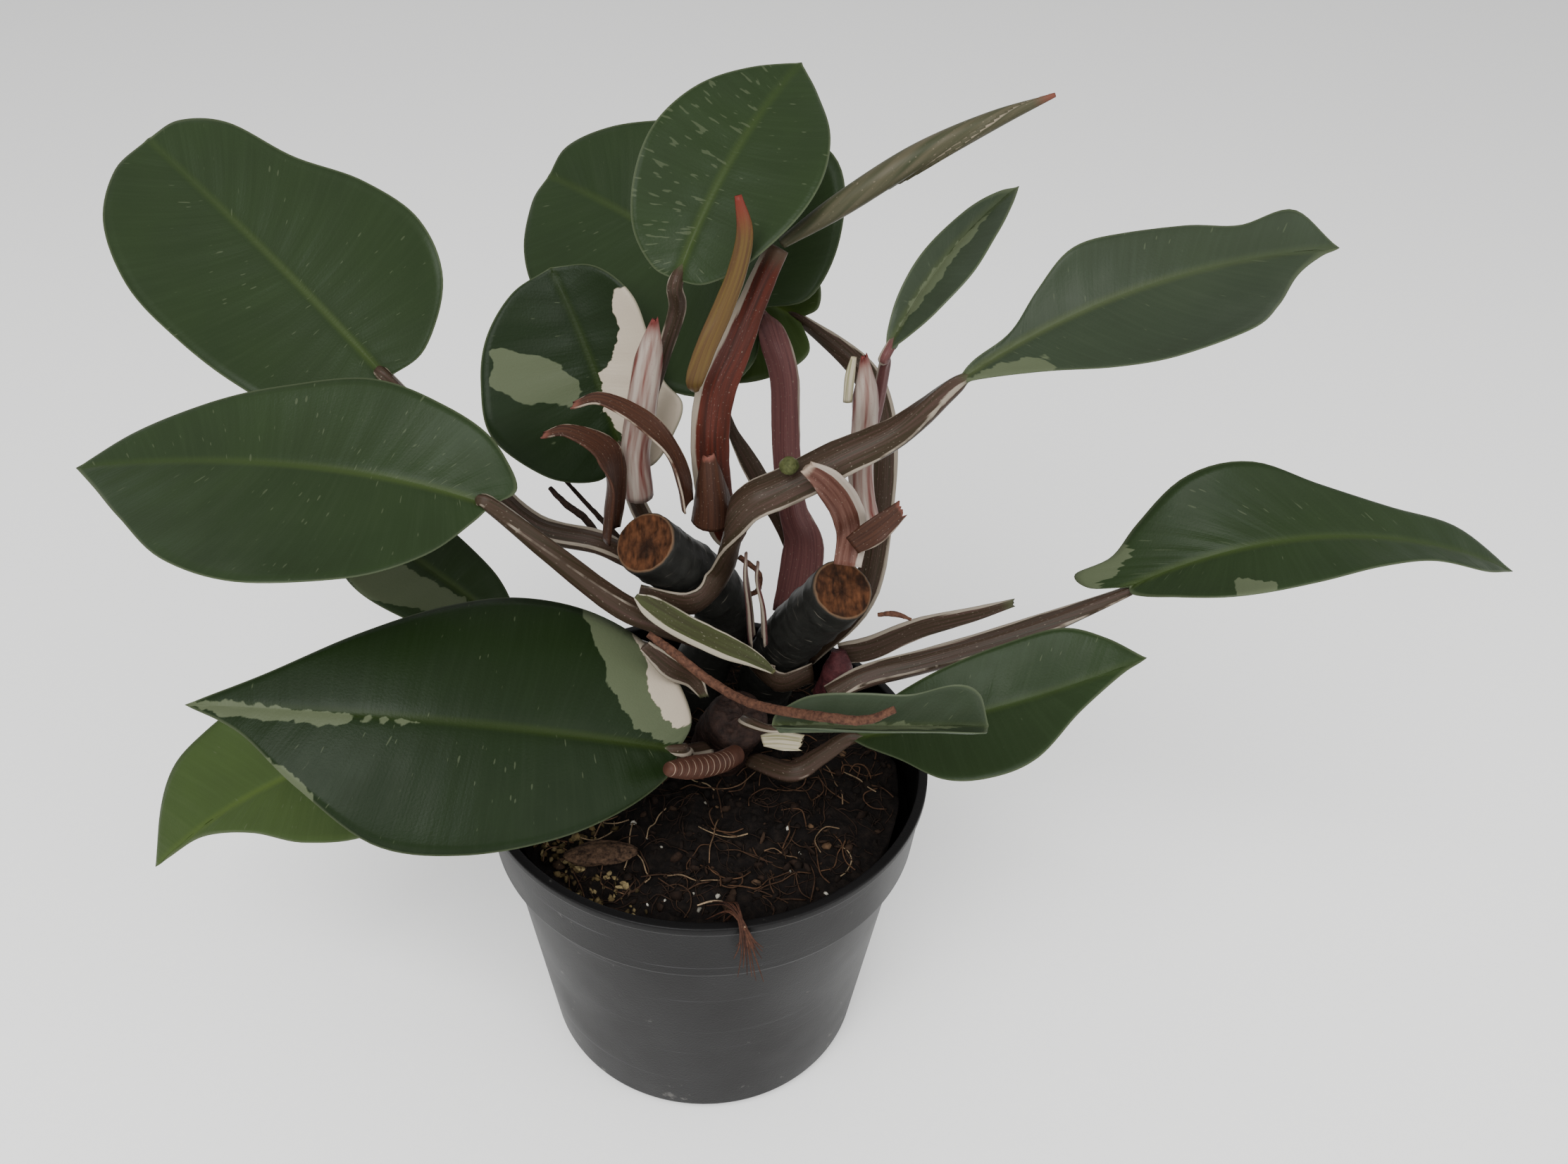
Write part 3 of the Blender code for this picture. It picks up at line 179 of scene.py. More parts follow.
# How thickly each blade is flecked, on its left and right halves.
FLECKS = {
    "blade_top": (1.0, 0.35), "blade_left": (0.3, 0.45), "blade_upper_left": (0.25, 0.3),
    "blade_right_lower": (0.3, 0.2), "blade_lower_left": (0.3, 0.12), "blade_right_upper": (0.1, 0.2),
}

# Roots and buds are round: places with a radius each.
ROUNDS = [
    ("bud_right", [((33, 16, 103), 3), ((35, 12, 110), 4), ((36, 11, 116), 4), ((36, 12, 121), 2)]),
    ("root_long", [((-13, -20, 152), .8), ((-8, -22, 149), 1.1), ((2, -28, 144), 1.1),
                          ((12, -37, 145), 1.1), ((26, -50, 153), 1.1), ((34, -52, 154), 1),
                          ((40, -52, 157), .8)]),
    ("root_ringed", [((8, -18, 112), 2.2), ((4, -26, 117), 2.6), ((-2, -35, 124), 2.6), ((-8, -43, 131), 1.6)]),
    ("root_upper", [((-26, 22, 147), 1), ((-30, 22, 156), 1), ((-35, 22, 161), .9), ((-39, 22, 166), .6)]),
    ("root_upper_thin", [((-22, 28, 146), .8), ((-28, 28, 154), .7), ((-36, 28, 165), .5)]),
    ("root_loop", [((12, 16, 137), .7), ((14, 14, 140), .7), ((14, 13, 146), .7), ((9, 13, 151), .7)]),
    ("knob_right", [((19.2, -6, 187.6), 1.4), ((19, -6.5, 189.2), 2.3), ((18.8, -7, 191), 1.2)]),
    ("rootlet", [((43, -2, 144), .5), ((47, -3, 145), .7), ((51, -4, 144), .4)]),
]


def linear(code):
    """A hex colour in sRGB as linear red, green, blue and alpha."""
    channels = [int(code[i:i + 2], 16) / 255 for i in (1, 3, 5)]
    return (*[c / 12.92 if c <= 0.04045 else ((c + 0.055) / 1.055) ** 2.4 for c in channels], 1.0)


def colour_property(name, description, code):
    return bpy.props.FloatVectorProperty(name=name, description=description, default=linear(code),
                                         subtype="COLOR", size=4, min=0.0, max=1.0)


def length_property(name, description, millimetres):
    return bpy.props.FloatProperty(name=name, description=description, default=millimetres * MM,
                                   unit="LENGTH", subtype="DISTANCE", min=0.0)


class PhilodendronSizes(bpy.types.PropertyGroup):
    blade_thickness: length_property("Blade thickness", "Thickness of a leaf blade between its veins", 0.7)
    midrib_height: length_property("Midrib height", "How far the midrib stands out under a blade", 1.1)
    vein_relief: length_property("Vein relief", "Height of the ripples between side veins", 0.10)
    ring_height: length_property("Ring height", "How far a leaf scar stands out round a stem", 0.5)
    clod_height: length_property("Clod height", "Height of the lumps in the peat", 2.4)
    rim_rounding: length_property("Rim rounding", "Radius of the pot's moulded edges", 0.6)
    crumbs: bpy.props.IntProperty(name="Crumbs", description="Number of loose peat crumbs", default=520, min=0)
    fibres: bpy.props.IntProperty(name="Fibres", description="Number of loose fibres", default=620, min=0)


class PhilodendronColours(bpy.types.PropertyGroup):
    leaf: colour_property("Leaf", "Green of a grown leaf", "#222f19")
    # A darker copy of the leaf green for the leaves that lie deepest in the plant: painted shade
    leaf_dark: colour_property("Dark leaf", "Green of the deepest leaves", "#14210c")
    # A greyer copy of the leaf green for the shiniest leaves: painted sheen
    leaf_grey: colour_property("Grey leaf", "Green of the leaves with the thickest wax", "#2d3627")
    # A lighter copy of the leaf green for the younger leaves that catch the light: painted light
    leaf_bright: colour_property("Bright leaf", "Green of the younger and lit leaves", "#33421f")
    leaf_cream: colour_property("Cream", "Leaf tissue with no green at all", "#9f9484")
    leaf_pale: colour_property("Pale green", "Leaf tissue with little green", "#4b523d")
    maroon: colour_property("Maroon", "Skin of the darker stalks", "#573836")
    olive: colour_property("Olive", "Skin of the brown-green stalks", "#2a2318")
    red: colour_property("Red", "Skin of the youngest stalk", "#462018")
    brown: colour_property("Brown", "Dry scale leaves and roots", "#3c261c")
    peat: colour_property("Peat", "Damp peat", "#0e0b0a")
    pot: colour_property("Pot", "Plastic of the pot", "#0b0b0c")


class PhilodendronStage(bpy.types.PropertyGroup):
    floor: colour_property("Floor", "Colour of the studio floor", "#fcfcfb")
    key_power: bpy.props.FloatProperty(name="Key light",
                                       description="Power of the large soft light in front and above",
                                       default=30.0, unit="POWER", min=0.0)
    fill_power: bpy.props.FloatProperty(name="Fill light", description="Power of the soft light at the right",
                                        default=7.0, unit="POWER", min=0.0)
    sky: bpy.props.FloatProperty(name="Sky", description="Strength of the even light all round",
                                 default=0.85, min=0.0)


def sizes():
    return bpy.context.scene.philodendron_sizes


def colours():
    return bpy.context.scene.philodendron_colours


# ---- Shapes ------------------------------------------------------------------------------------------------

def spline(points, t):
    """A point on the Catmull-Rom curve through the points, with t from 0 to 1."""
    last = len(points) - 1
    place = min(max(t, 0.0), 1.0) * last
    i = min(int(place), last - 1)
    u = place - i
    b = Vector(points[i])
    c = Vector(points[i + 1])
    a = Vector(points[i - 1]) if i > 0 else b * 2 - c
    d = Vector(points[i + 2]) if i + 2 <= last else c * 2 - b
    return 0.5 * (b * 2 + (c - a) * u + (a * 2 - b * 5 + c * 4 - d) * u ** 2 + (b * 3 - a - c * 3 + d) * u ** 3)


def spline_tangent(points, t):
    step = 0.004
    return (spline(points, min(t + step, 1.0)) - spline(points, max(t - step, 0.0))).normalized()


def smoothstep(low, high, value):
    share = min(max((value - low) / (high - low), 0.0), 1.0)
    return share * share * (3 - 2 * share)


def lumps(point, size, octaves=3):
    """Even noise from -1 to 1 at a point in millimetres, with lumps of about that size."""
    return noise.fractal(Vector(point) / size, 1.0, 2.0, octaves, noise_basis="PERLIN_ORIGINAL")


def check_place(obj, nodes, slack=0.006):
    """Stop if a piece strays from the boxes of the frame nodes that it stands for."""
    boxes = [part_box(node) for node in nodes]
    for axis in range(3):
        low = min(box[0][axis] for box in boxes) - slack
        high = max(box[1][axis] for box in boxes) + slack
        places = [vertex.co[axis] for vertex in obj.data.vertices]
        if min(places) < low or max(places) > high:
            raise RuntimeError("%s strays from %s along axis %d" % (obj.name, nodes, axis))


def add_piece(name, points, faces, material, nodes=(), fields=None):
    """Make a piece from points in millimetres. fields are named values, one for each point."""
    mesh = bpy.data.meshes.new(name)
    mesh.from_pydata([tuple(Vector(p) * MM) for p in points], [], faces)
    for field, values in (fields or {}).items():
        mesh.attributes.new(field, "FLOAT", "POINT").data.foreach_set("value", values)
    shape = bmesh.new()
    shape.from_mesh(mesh)
    bmesh.ops.recalc_face_normals(shape, faces=shape.faces)
    shape.to_mesh(mesh)
    shape.free()
    for face in mesh.polygons:
        face.use_smooth = True
    mesh.materials.append(material)
    obj = bpy.data.objects.new(name, mesh)
    bpy.context.scene.collection.objects.link(obj)
    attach(obj, BODY)
    if nodes:
        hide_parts(*nodes)
        check_place(obj, nodes)
    return obj


def outline(leaf, length, turn, side):
    """The flat outline of one half of a blade: turn is 0 at the base and 1 at the tip."""
    edge = leaf.right if side > 0 else leaf.left
    route = [(0, 0, 0)] + [(along, across, 0) for along, across in edge] + [(length, 0, 0)]
    place = spline(route, turn)
    return place.x, max(place.y, 0.0)


def blade_frame(leaf, length, x):
    """The midrib's place at x millimetres from the base, with its direction, side and normal."""
    base, mid, tip = Vector(leaf.base), Vector(leaf.mid), Vector(leaf.tip)
    handle = mid * 2 - (base + tip) / 2
    t = min(max(x / length, 0.0), 1.0)
    place = base * (1 - t) ** 2 + handle * 2 * t * (1 - t) + tip * t ** 2
    ahead = ((handle - base) * (1 - t) + (tip - handle) * t).normalized()
    if x < 0:
        place = base + ahead * x
    face = Vector(leaf.face).lerp(Vector(leaf.face_tip), t)
    normal = (face - ahead * face.dot(ahead)).normalized()
    return place, ahead, ahead.cross(normal), normal


def blade_length(leaf):
    base, mid, tip = Vector(leaf.base), Vector(leaf.mid), Vector(leaf.tip)
    return (mid - base).length + (tip - mid).length


def blade_point(leaf, length, x, across, side):
    """Where a point of the flat blade lies once it is folded, curled and waved."""
    place, ahead, sideways, normal = blade_frame(leaf, length, x)
    edge = leaf.right if side > 0 else leaf.left
    curl = leaf.curl[1] if side > 0 else leaf.curl[0]
    reach = across / max(width for along, width in edge)
    angle = math.radians(leaf.fold + curl * reach)
    ripple = leaf.wave * math.sin(9.0 * x / length + side) * reach ** 2
    return place + sideways * side * across * math.cos(angle) + normal * (across * math.sin(angle) + ripple)


def inside_edge(edge, x, y):
    """Millimetres from a place to a patch's outline, more than 0 inside it."""
    nearest = 1e9
    inside = False
    for i, (ax, ay) in enumerate(edge):
        bx, by = edge[i - 1]
        dx, dy = bx - ax, by - ay
        share = min(max(((x - ax) * dx + (y - ay) * dy) / (dx * dx + dy * dy), 0.0), 1.0)
        nearest = min(nearest, math.hypot(x - ax - share * dx, y - ay - share * dy))
        if (ay > y) != (by > y) and x < ax + (y - ay) / dy * dx:
            inside = not inside
    return nearest if inside else -nearest


def build_blade(leaf, material, rows=64, columns=14):
    """A blade with a grooved midrib, rippled side veins, a ridge beneath and a thin margin."""
    size = sizes()
    length = blade_length(leaf)
    veins = max(6, round(length / 6.5))
    patches = [patch for patch in PATCHES if patch.leaf == leaf.name]
    flecks = FLECKS.get(leaf.name, (0.08, 0.08))
    points = []
    rows_of = []
    fields = {name: [] for name in ("vein", "reach", "rim", "along", "cream", "pale", "fleck", "under")}

    def note(x, across, side, turn, edge_across):
        signed = across * side
        fields["vein"].append(turn * length)
        fields["reach"].append(signed)
        fields["rim"].append(edge_across - across)
        fields["along"].append(x / length)
        for kind in ("cream", "pale"):
            depth = [inside_edge(patch.edge, x, signed) for patch in patches if patch.kind == kind]
            fields[kind].append(max(depth) if depth else -50.0)
        fields["fleck"].append(flecks[1] if side > 0 else flecks[0])
        fields["under"].append(0.0)

    for row in range(rows + 2):
        turn = row / (rows + 1)
        rib = LEAF_GAP + (length - LEAF_GAP) * turn ** 1.3
        if row in (0, rows + 1):
            rows_of.append([len(points)])
            points.append(blade_frame(leaf, length, rib)[0])
            note(rib, 0.0, 1, turn, 0.0)
            continue
        line = []
        for column in range(-columns, columns + 1):
            side = -1 if column < 0 else 1
            share = (abs(column) / columns) ** 1.25
            edge_x, edge_across = outline(leaf, length, turn, side)
            x = rib + (edge_x - rib) * share
            across = edge_across * share
            place = blade_point(leaf, length, x, across, side)
            normal = blade_frame(leaf, length, x)[3]
            groove = -0.5 * math.exp(-(across / 1.1) ** 2) * (1 - 0.6 * turn)
            ripple = size.vein_relief / MM * math.cos(2 * math.pi * turn * veins)
            ripple *= smoothstep(0.02, 0.2, share) * (1 - share ** 3)
            line.append(len(points))
            points.append(place + normal * (groove + ripple))
            note(x, across, side, turn, edge_across)
        rows_of.append(line)
    faces = []
    for near, far in zip(rows_of, rows_of[1:]):
        for k in range(2 * columns):
            a = near[min(k, len(near) - 1)]
            b = near[min(k + 1, len(near) - 1)]
            c = far[min(k + 1, len(far) - 1)]
            d = far[min(k, len(far) - 1)]
            corners = [a, b, c, d]
            faces.append([v for i, v in enumerate(corners) if v != corners[i - 1]])
    sheet = bmesh.new()
    made = [sheet.verts.new(p) for p in points]
    for face in faces:
        sheet.faces.new([made[v] for v in face])
    sheet.normal_update()
    up = blade_frame(leaf, length, length / 2)[3]
    if made[len(made) // 2].normal.dot(up) < 0:
        normals = [-v.normal for v in made]
    else:
        normals = [v.normal.copy() for v in made]
    sheet.free()
    half = size.blade_thickness / MM / 2
    top = []
    bottom = []
    for i, point in enumerate(points):
        rim = smoothstep(0.0, 1.2, fields["rim"][i])
        across = abs(fields["reach"][i])
        ridge = size.midrib_height / MM * math.exp(-(across / 1.3) ** 2) * (1.1 - fields["along"][i])
        body = half * (0.3 + 0.7 * rim)
        top.append(point + normals[i] * body)
        bottom.append(point - normals[i] * (body + max(ridge, 0.0) * rim))
    count = len(points)
    edge = [line[0] for line in rows_of] + [line[-1] for line in reversed(rows_of[1:-1])]
    closed = [list(face) for face in faces] + [[v + count for v in reversed(face)] for face in faces]
    for i, a in enumerate(edge):
        b = edge[i - 1]
        closed.append([a, b, b + count, a + count])
    both = {name: values + values for name, values in fields.items()}
    both["under"] = [0.0] * count + [1.0] * count
    return add_piece("live_" + leaf.name, top + bottom, closed, material, [leaf.name], both)


FRONT = (0, -1, .4)
BEHIND = (0, 1, -.2)
UP = (0, -.3, 1)
LEFT = (-1, -.2, .4)
RIGHT = (1, -.3, .3)


def joint(name, drop=0.5):
    """Where a petiole ends: just behind the base of its blade, a little under it."""
    leaf = next(leaf for leaf in LEAVES if leaf.name == name)
    place, ahead, sideways, normal = blade_frame(leaf, blade_length(leaf), 0)
    place = place - ahead * JOINT_GAP - normal * drop
    return place.x, place.y, place.z


def seat(stem, t, around, thickness, out=0.0):
    """A point off a stem's bark, around degrees from its front, clear by half the thickness."""
    path = STEMS[stem]
    axis = spline_tangent(path, t)
    front = Vector((0, -1, 0))
    front = (front - axis * front.dot(axis)).normalized()
    side = axis.cross(front)
    side = side if side.x > 0 else -side
    angle = math.radians(around)
    radial = front * math.cos(angle) + side * math.sin(angle)
    return spline(path, t) + radial * (STEM_RADIUS + CLEARANCE + thickness / 2 + out)


def bands():
    """Every petiole, sheath and strap. Each station is a place, its width, its thickness, how far each edge
    cups towards its face in degrees, and that face. A wrapped band cups round its own line."""
    return [
        Band("petiole_upper_left", False, [
            ((-18, 16, 148), 6, 5, 40, UP),
            ((-27, 15, 154), 7, 5, 50, UP),
            ((-43, 18, 157), 7, 5, 50, UP),
            ((-57, 22, 170), 6, 5, 50, UP),
            (joint("blade_upper_left"), 4, 4, 30, UP)]),
        Band("petiole_left", False, [
            (seat("stem_right", .68, 50, 2, 1.3), 8, 2, 4, (-.8, .6, 0)),
            (seat("stem_right", .66, 0, 3, .8), 9, 3, 4, (0, 1, .3)),
            (seat("stem_right", .68, -45, 3, .8), 9, 3, 8, (.5, .8, .3)),
            ((-2, -6, 140), 8, 5, 50, (.2, .5, .8)),
            ((-12, -11, 149), 8, 6, 50, (.2, .5, .8)),
            ((-23, -13, 158), 7, 6, 40, (.2, .4, .9)),
            (joint("blade_left"), 4, 4, 30, UP)]),
        Band("petiole_lower_left", False, [
            (seat("stem_front", .86, -40, 4), 6, 4, 10, (0, 0, 1)),
            ((-5, -20, 114), 6, 5, 30, UP),
            (joint("blade_lower_left"), 4, 4, 20, UP)]),
        Band("petiole_drooping", False, [
            (seat("stem_front", .62, -90, 4), 5, 4, 10, (0, 0, 1)),
            ((-24, 2, 109), 5, 4, 30, UP),
            ((-44, -3, 114), 5, 4, 30, UP),
            (joint("blade_drooping"), 3, 3, 20, UP)]),
        Band("petiole_inner_left", False, [
            (seat("stem_left", .42, -90, 4), 5, 4, 10, (0, 0, 1)),
            ((-32, 30, 113), 5, 4, 30, UP),
            (joint("blade_inner_left"), 3, 3, 20, UP)]),
        Band("petiole_cream", False, [
            (seat("stem_left", .66, -120, 4), 5, 4, 10, FRONT),
            ((-17, 30, 155), 5, 4, 30, FRONT),
            (joint("blade_cream"), 3, 3, 20, FRONT)]),
        Band("petiole_top", False, [
            ((-16, 15, 170), 3, 3, 20, FRONT),
            ((-16, 16, 182), 3, 3, 30, FRONT),
            ((-12.5, 18.5, 193.5), 3, 3, 30, FRONT),
            ((-9, 16.5, 206.5), 3.5, 3.5, 30, FRONT),
            ((-6, 14, 217.5), 4, 3.5, 30, FRONT),
            (joint("blade_top"), 3.5, 3, 20, FRONT)]),
        Band("petiole_back", False, [
            (seat("stem_right", .66, 170, 6), 12, 6, 10, FRONT),
            ((27, 36, 139), 12, 5, 40, FRONT),
            ((23.5, 33, 153), 8, 6, 40, FRONT),
            ((21, 30.5, 171), 7.5, 6, 40, FRONT),
            ((20, 33.5, 190), 7.5, 6, 40, FRONT),
            ((17, 38, 200), 7, 5, 30, FRONT),
            (joint("blade_back", 4.0), 2.4, 2.4, 20, FRONT)]),
        Band("petiole_back_low", False, [
            (seat("stem_right", .5, 120, 5), 7, 5, 10, FRONT),
            ((43, 27, 128), 8, 5, 50, FRONT),
            ((46, 30, 154), 8, 5, 50, FRONT),
            ((46, 38, 175), 8, 5, 50, FRONT),
            ((41, 48, 186), 7, 5, 40, FRONT),
            (joint("blade_back_low", 1.0), 3, 3, 20, FRONT)]),
        Band("petiole_rolled", False, [
            ((8, 17.5, 153.5), 7, 5, 30, FRONT),
            ((5, 16, 158), 8, 6, 40, FRONT),
            ((2.5, 10, 172), 9, 6, 40, FRONT),
            ((1.5, 7.5, 183), 9.5, 7, 40, FRONT),
            ((1.5, 6.5, 193), 9.5, 7, 40, FRONT),
            ((3, 7.5, 202), 9.5, 7, 40, FRONT),
            ((6.5, 11, 209), 8.5, 6, 40, FRONT),
            ((10, 16, 216), 7, 6, 40, FRONT),
            ((13.5, 20, 223), 6, 5, 30, FRONT),
            ((16.5, 21.5, 229), 5, 4, 20, FRONT)]),
        Band("petiole_narrow", False, [
            ((38.5, 19, 167), 2.5, 2.5, 20, FRONT),
            ((39.5, 19, 179.5), 2.8, 2.5, 30, FRONT),
            ((41, 17.5, 190), 3, 3, 30, FRONT),
            ((41.5, 14, 204), 2.8, 2.6, 30, FRONT),
            (joint("blade_narrow"), 2.5, 2.5, 20, FRONT)]),
        Band("petiole_right_upper", False, [
            (seat("stem_left", .93, -60, 2, 1.2), 7, 2, 4, (1, .4, 0)),
            (seat("stem_left", .88, 0, 3, .8), 9, 3, 4, (0, 1, .3)),
            (seat("stem_left", .87, 60, 3, 1.2), 9, 3, 6, (-.6, .8, .3)),
            ((9, -4.5, 176), 9, 6, 20, (-.3, -.6, .7)),
            ((19.5, -3.5, 182), 10, 7, 20, (-.2, -.6, .8)),
            ((31, -1, 187.5), 9.5, 6.5, 20, (-.1, -.6, .8)),
            ((44, 0.5, 194), 7.5, 6, 30, (0, -.5, .9)),
            (joint("blade_right_upper"), 4, 5, 30, UP)]),
        Band("petiole_right_lower", False, [
            ((32, -3, 119), 5, 4, 30, UP),
            ((42, 0, 122.5), 6.5, 5, 50, UP),
            ((57, 0, 127.5), 7, 5, 50, UP),
            ((79, -1, 137), 7, 5, 50, UP),
            (joint("blade_right_lower", 2.2), 3, 2.4, 20, UP)]),
        Band("petiole_bottom_right", False, [
            (seat("stem_front", .85, 40, 4), 6, 4, 10, (0, 0, 1)),
            ((22, -19, 107), 6, 5, 30, UP),
            ((29, -17, 110), 5, 4, 30, UP),
            (joint("blade_bottom_right"), 4, 4, 20, UP)]),
        Band("petiole_folded", False, [
            ((10, -19, 124), 3, 3, 20, UP),
            ((10, -29, 133), 3, 3, 20, UP),
            (joint("blade_folded", 1.5), 2, 2, 20, UP)]),
        Band("sheath_top", True, [
            ((-16, 15.5, 168), 13, 1, 110, BEHIND),
            ((-16.5, 14.5, 180), 16, 1, 140, BEHIND),
            ((-15, 13, 191), 15.5, 1, 130, BEHIND),
            ((-13, 11.5, 204), 10, 1, 90, BEHIND),
            ((-11.5, 9.5, 213), 5, 0.8, 50, BEHIND),
            ((-10.5, 8, 220), 1.2, 0.8, 10, BEHIND)]),
        Band("sheath_narrow", True, [
            ((42, 14, 159), 6, 1, 60, BEHIND),
            ((40, 15.5, 164), 9, 1, 90, BEHIND),
            ((38, 14.5, 176), 13, 1, 130, BEHIND),
            ((38, 13.5, 187), 13, 1, 130, BEHIND),
            ((37.5, 11.5, 196), 9, 1, 90, BEHIND),
            ((36.5, 10.5, 204), 4, 0.8, 50, BEHIND),
            ((35.5, 10, 210), 1.2, 0.8, 10, BEHIND)]),
        Band("cataphyll_brown_left", False, [
            ((-24, 7, 162), 10, 1.4, 60, RIGHT),
            ((-23, 6, 171.5), 12, 1.4, 60, RIGHT),
            ((-22, 5, 180), 11, 1.4, 50, RIGHT),
            ((-24, 5, 187), 8, 1.2, 30, UP),
            ((-31.5, 5, 191.5), 4, 1, 20, UP),
            ((-37, 5, 190.5), 1.6, 0.8, 10, UP)]),
        Band("cataphyll_long", False, [
            ((-4.5, -1, 175), 7, 1.2, 40, RIGHT),
            ((-5.5, -1, 182), 8, 1.2, 40, RIGHT),
            ((-8, 0, 189), 7, 1.2, 40, RIGHT),
            ((-13.5, 2, 195.5), 6, 1.2, 30, UP),
            ((-23, 3.5, 200.5), 4, 1, 20, UP),
            ((-29.5, 3.5, 199), 1.8, 0.8, 10, UP)]),
        Band("cataphyll_rolled", False, [
            ((2, 1.5, 167), 12, 2, 60, BEHIND),
            ((2, 0, 174), 11, 2, 70, BEHIND),
            ((1.5, -1.5, 182), 7, 1.6, 60, BEHIND),
            ((1, -2, 189), 2.5, 1.2, 30, BEHIND)]),
        Band("spike_rolled", False, [
            ((-2, 3, 203), 1.6, 1, 10, FRONT),
            ((-2, -0.5, 207.5), 4, 1.6, 20, FRONT),
            ((0.5, 0, 215), 4.5, 2, 20, FRONT),
            ((4, 2.5, 222.5), 4.5, 3, 20, FRONT),
            ((7, 4, 230.5), 4, 3, 20, FRONT),
            ((8.5, 5, 238.5), 3.5, 2.5, 20, FRONT),
            ((7, 6, 246), 1.5, 1, 10, FRONT)]),
        Band("spike_narrow", False, [
            ((33, 9, 197), 2, 1, 20, FRONT),
            ((33, 8, 204), 2.2, 1, 20, FRONT),
            ((33.5, 7.5, 209), 1.2, 0.8, 10, FRONT)]),
        Band("strap_left", False, [
            ((34, -4.5, 160.5), 7, 1.2, 40, FRONT),
            ((35, 0, 167), 8, 1.2, 50, FRONT),
            ((32.5, -3, 176.5), 8.5, 1.2, 50, FRONT),
            ((27.5, -8, 186), 7, 1.2, 40, FRONT),
            ((22.5, -11, 191.5), 3, 1, 20, FRONT)]),
        Band("strap_right", False, [
            ((35, -4.5, 166.5), 5, 1.5, 30, FRONT),
            ((40, -5, 171), 6.5, 1.5, 40, FRONT),
            ((46, -2, 175), 4, 1.5, 30, FRONT)]),
        Band("shoot_horn_left", False, [
            ((12, 8, 128), 5, 1, 50, RIGHT),
            ((11, 4, 142), 4, 1, 50, RIGHT),
            ((10, 0, 154), 3, 1, 30, RIGHT),
            ((10, -3, 163), 1.2, .8, 10, RIGHT)]),
        Band("shoot_horn_right", False, [
            ((16, 5, 130), 4, 1, 50, LEFT),
            ((15, 3, 142), 3, 1, 50, LEFT),
            ((13, 1, 152), 2, 1, 30, LEFT),
            ((13, -1, 159), 1.2, .8, 10, LEFT)]),
        Band("sheath_wing", False, [
            ((37, 17, 116.5), 6, 2, 20, FRONT),
            ((45, 16.5, 119), 7, 2, 30, FRONT),
            ((57, 16, 126), 6, 2, 30, FRONT),
            ((71, 13, 133), 4, 1.5, 20, FRONT),
            ((80, 11, 138), 2, 1, 10, FRONT)]),
        Band("sheath_low", False, [
            ((-14, -18, 147), 3, 1, 20, FRONT),
            ((-8, -16, 139), 6, 1, 40, FRONT),
            ((-3, -12, 132), 5, 1, 40, FRONT),
            ((0, -12, 126), 2, 1, 10, FRONT)]),
        Band("sheath_torn", False, [
            ((14, -29, 127), 3, 1, 20, FRONT),
            ((18, -31, 129), 5, 1, 30, FRONT),
            ((23, -33, 130), 4, 1, 20, FRONT)]),
        Band("petiole_stump", False, [
            ((18, 42, 150), 6, 4, 30, FRONT),
            ((12, 44, 161), 5, 3, 30, FRONT),
            ((8, 46, 168), 3, 2, 20, FRONT),
            ((6, 46, 174), 2, 1.5, 10, FRONT)]),
    ]


def band_section(place, ahead, face, width, thickness, cup, wrapped, half=9):
    """A closed loop round a cupped strip: along its under side, then back along its upper side."""
    face = Vector(face)
    normal = (face - ahead * face.dot(ahead)).normalized()
    sideways = ahead.cross(normal)
    sweep = math.radians(max(cup, 1.0))
    radius = width / 2 / sweep
    middle = place if wrapped else place + normal * radius
    under = []
    upper = []
    for i in range(half + 1):
        share = -1 + 2 * i / half
        angle = sweep * share
        body = max(thickness * (1 - abs(share) ** 2.5), 0.45) / 2
        out = sideways * math.sin(angle) - normal * math.cos(angle)
        under.append((middle + out * (radius + body), share))
        upper.append((middle + out * (radius - min(body, radius * 0.8)), share))
    return under + upper[::-1]


# How much of the half width of a stalk or sheath is its pale wing, on its left and right edges.
WINGS = {
    "petiole_upper_left": (0.10, 0.22), "petiole_left": (0.06, 0.26), "petiole_lower_left": (0.20, 0.20),
    "left_stalk_flap": (0.10, 0.50), "petiole_inner_left": (0.0, 0.10), "petiole_cream": (0.20, 0.20),
    "petiole_top": (0.10, 0.06),
    "petiole_back": (0.0, 0.06), "petiole_back_low": (0.0, 0.18), "petiole_rolled": (0.26, 0.0),
    "petiole_narrow": (0.14, 0.0), "petiole_right_upper": (0.10, 0.12), "petiole_right_lower": (0.20, 0.08),
    "petiole_folded": (0.20, 0.20), "petiole_stump": (0.12, 0.0), "sheath_wing": (0.30, 0.10),
    "strap_left": (0.0, 0.50), "strap_right": (0.0, 0.08), "cataphyll_long": (0.10, 0.10),
    "shoot_horn_left": (0.40, 0.40), "shoot_horn_right": (0.40, 0.40), "petiole_drooping": (0.0, 0.10),
    "sheath_low": (0.30, 0.30), "cataphyll_brown_left": (0.0, 0.12),
}


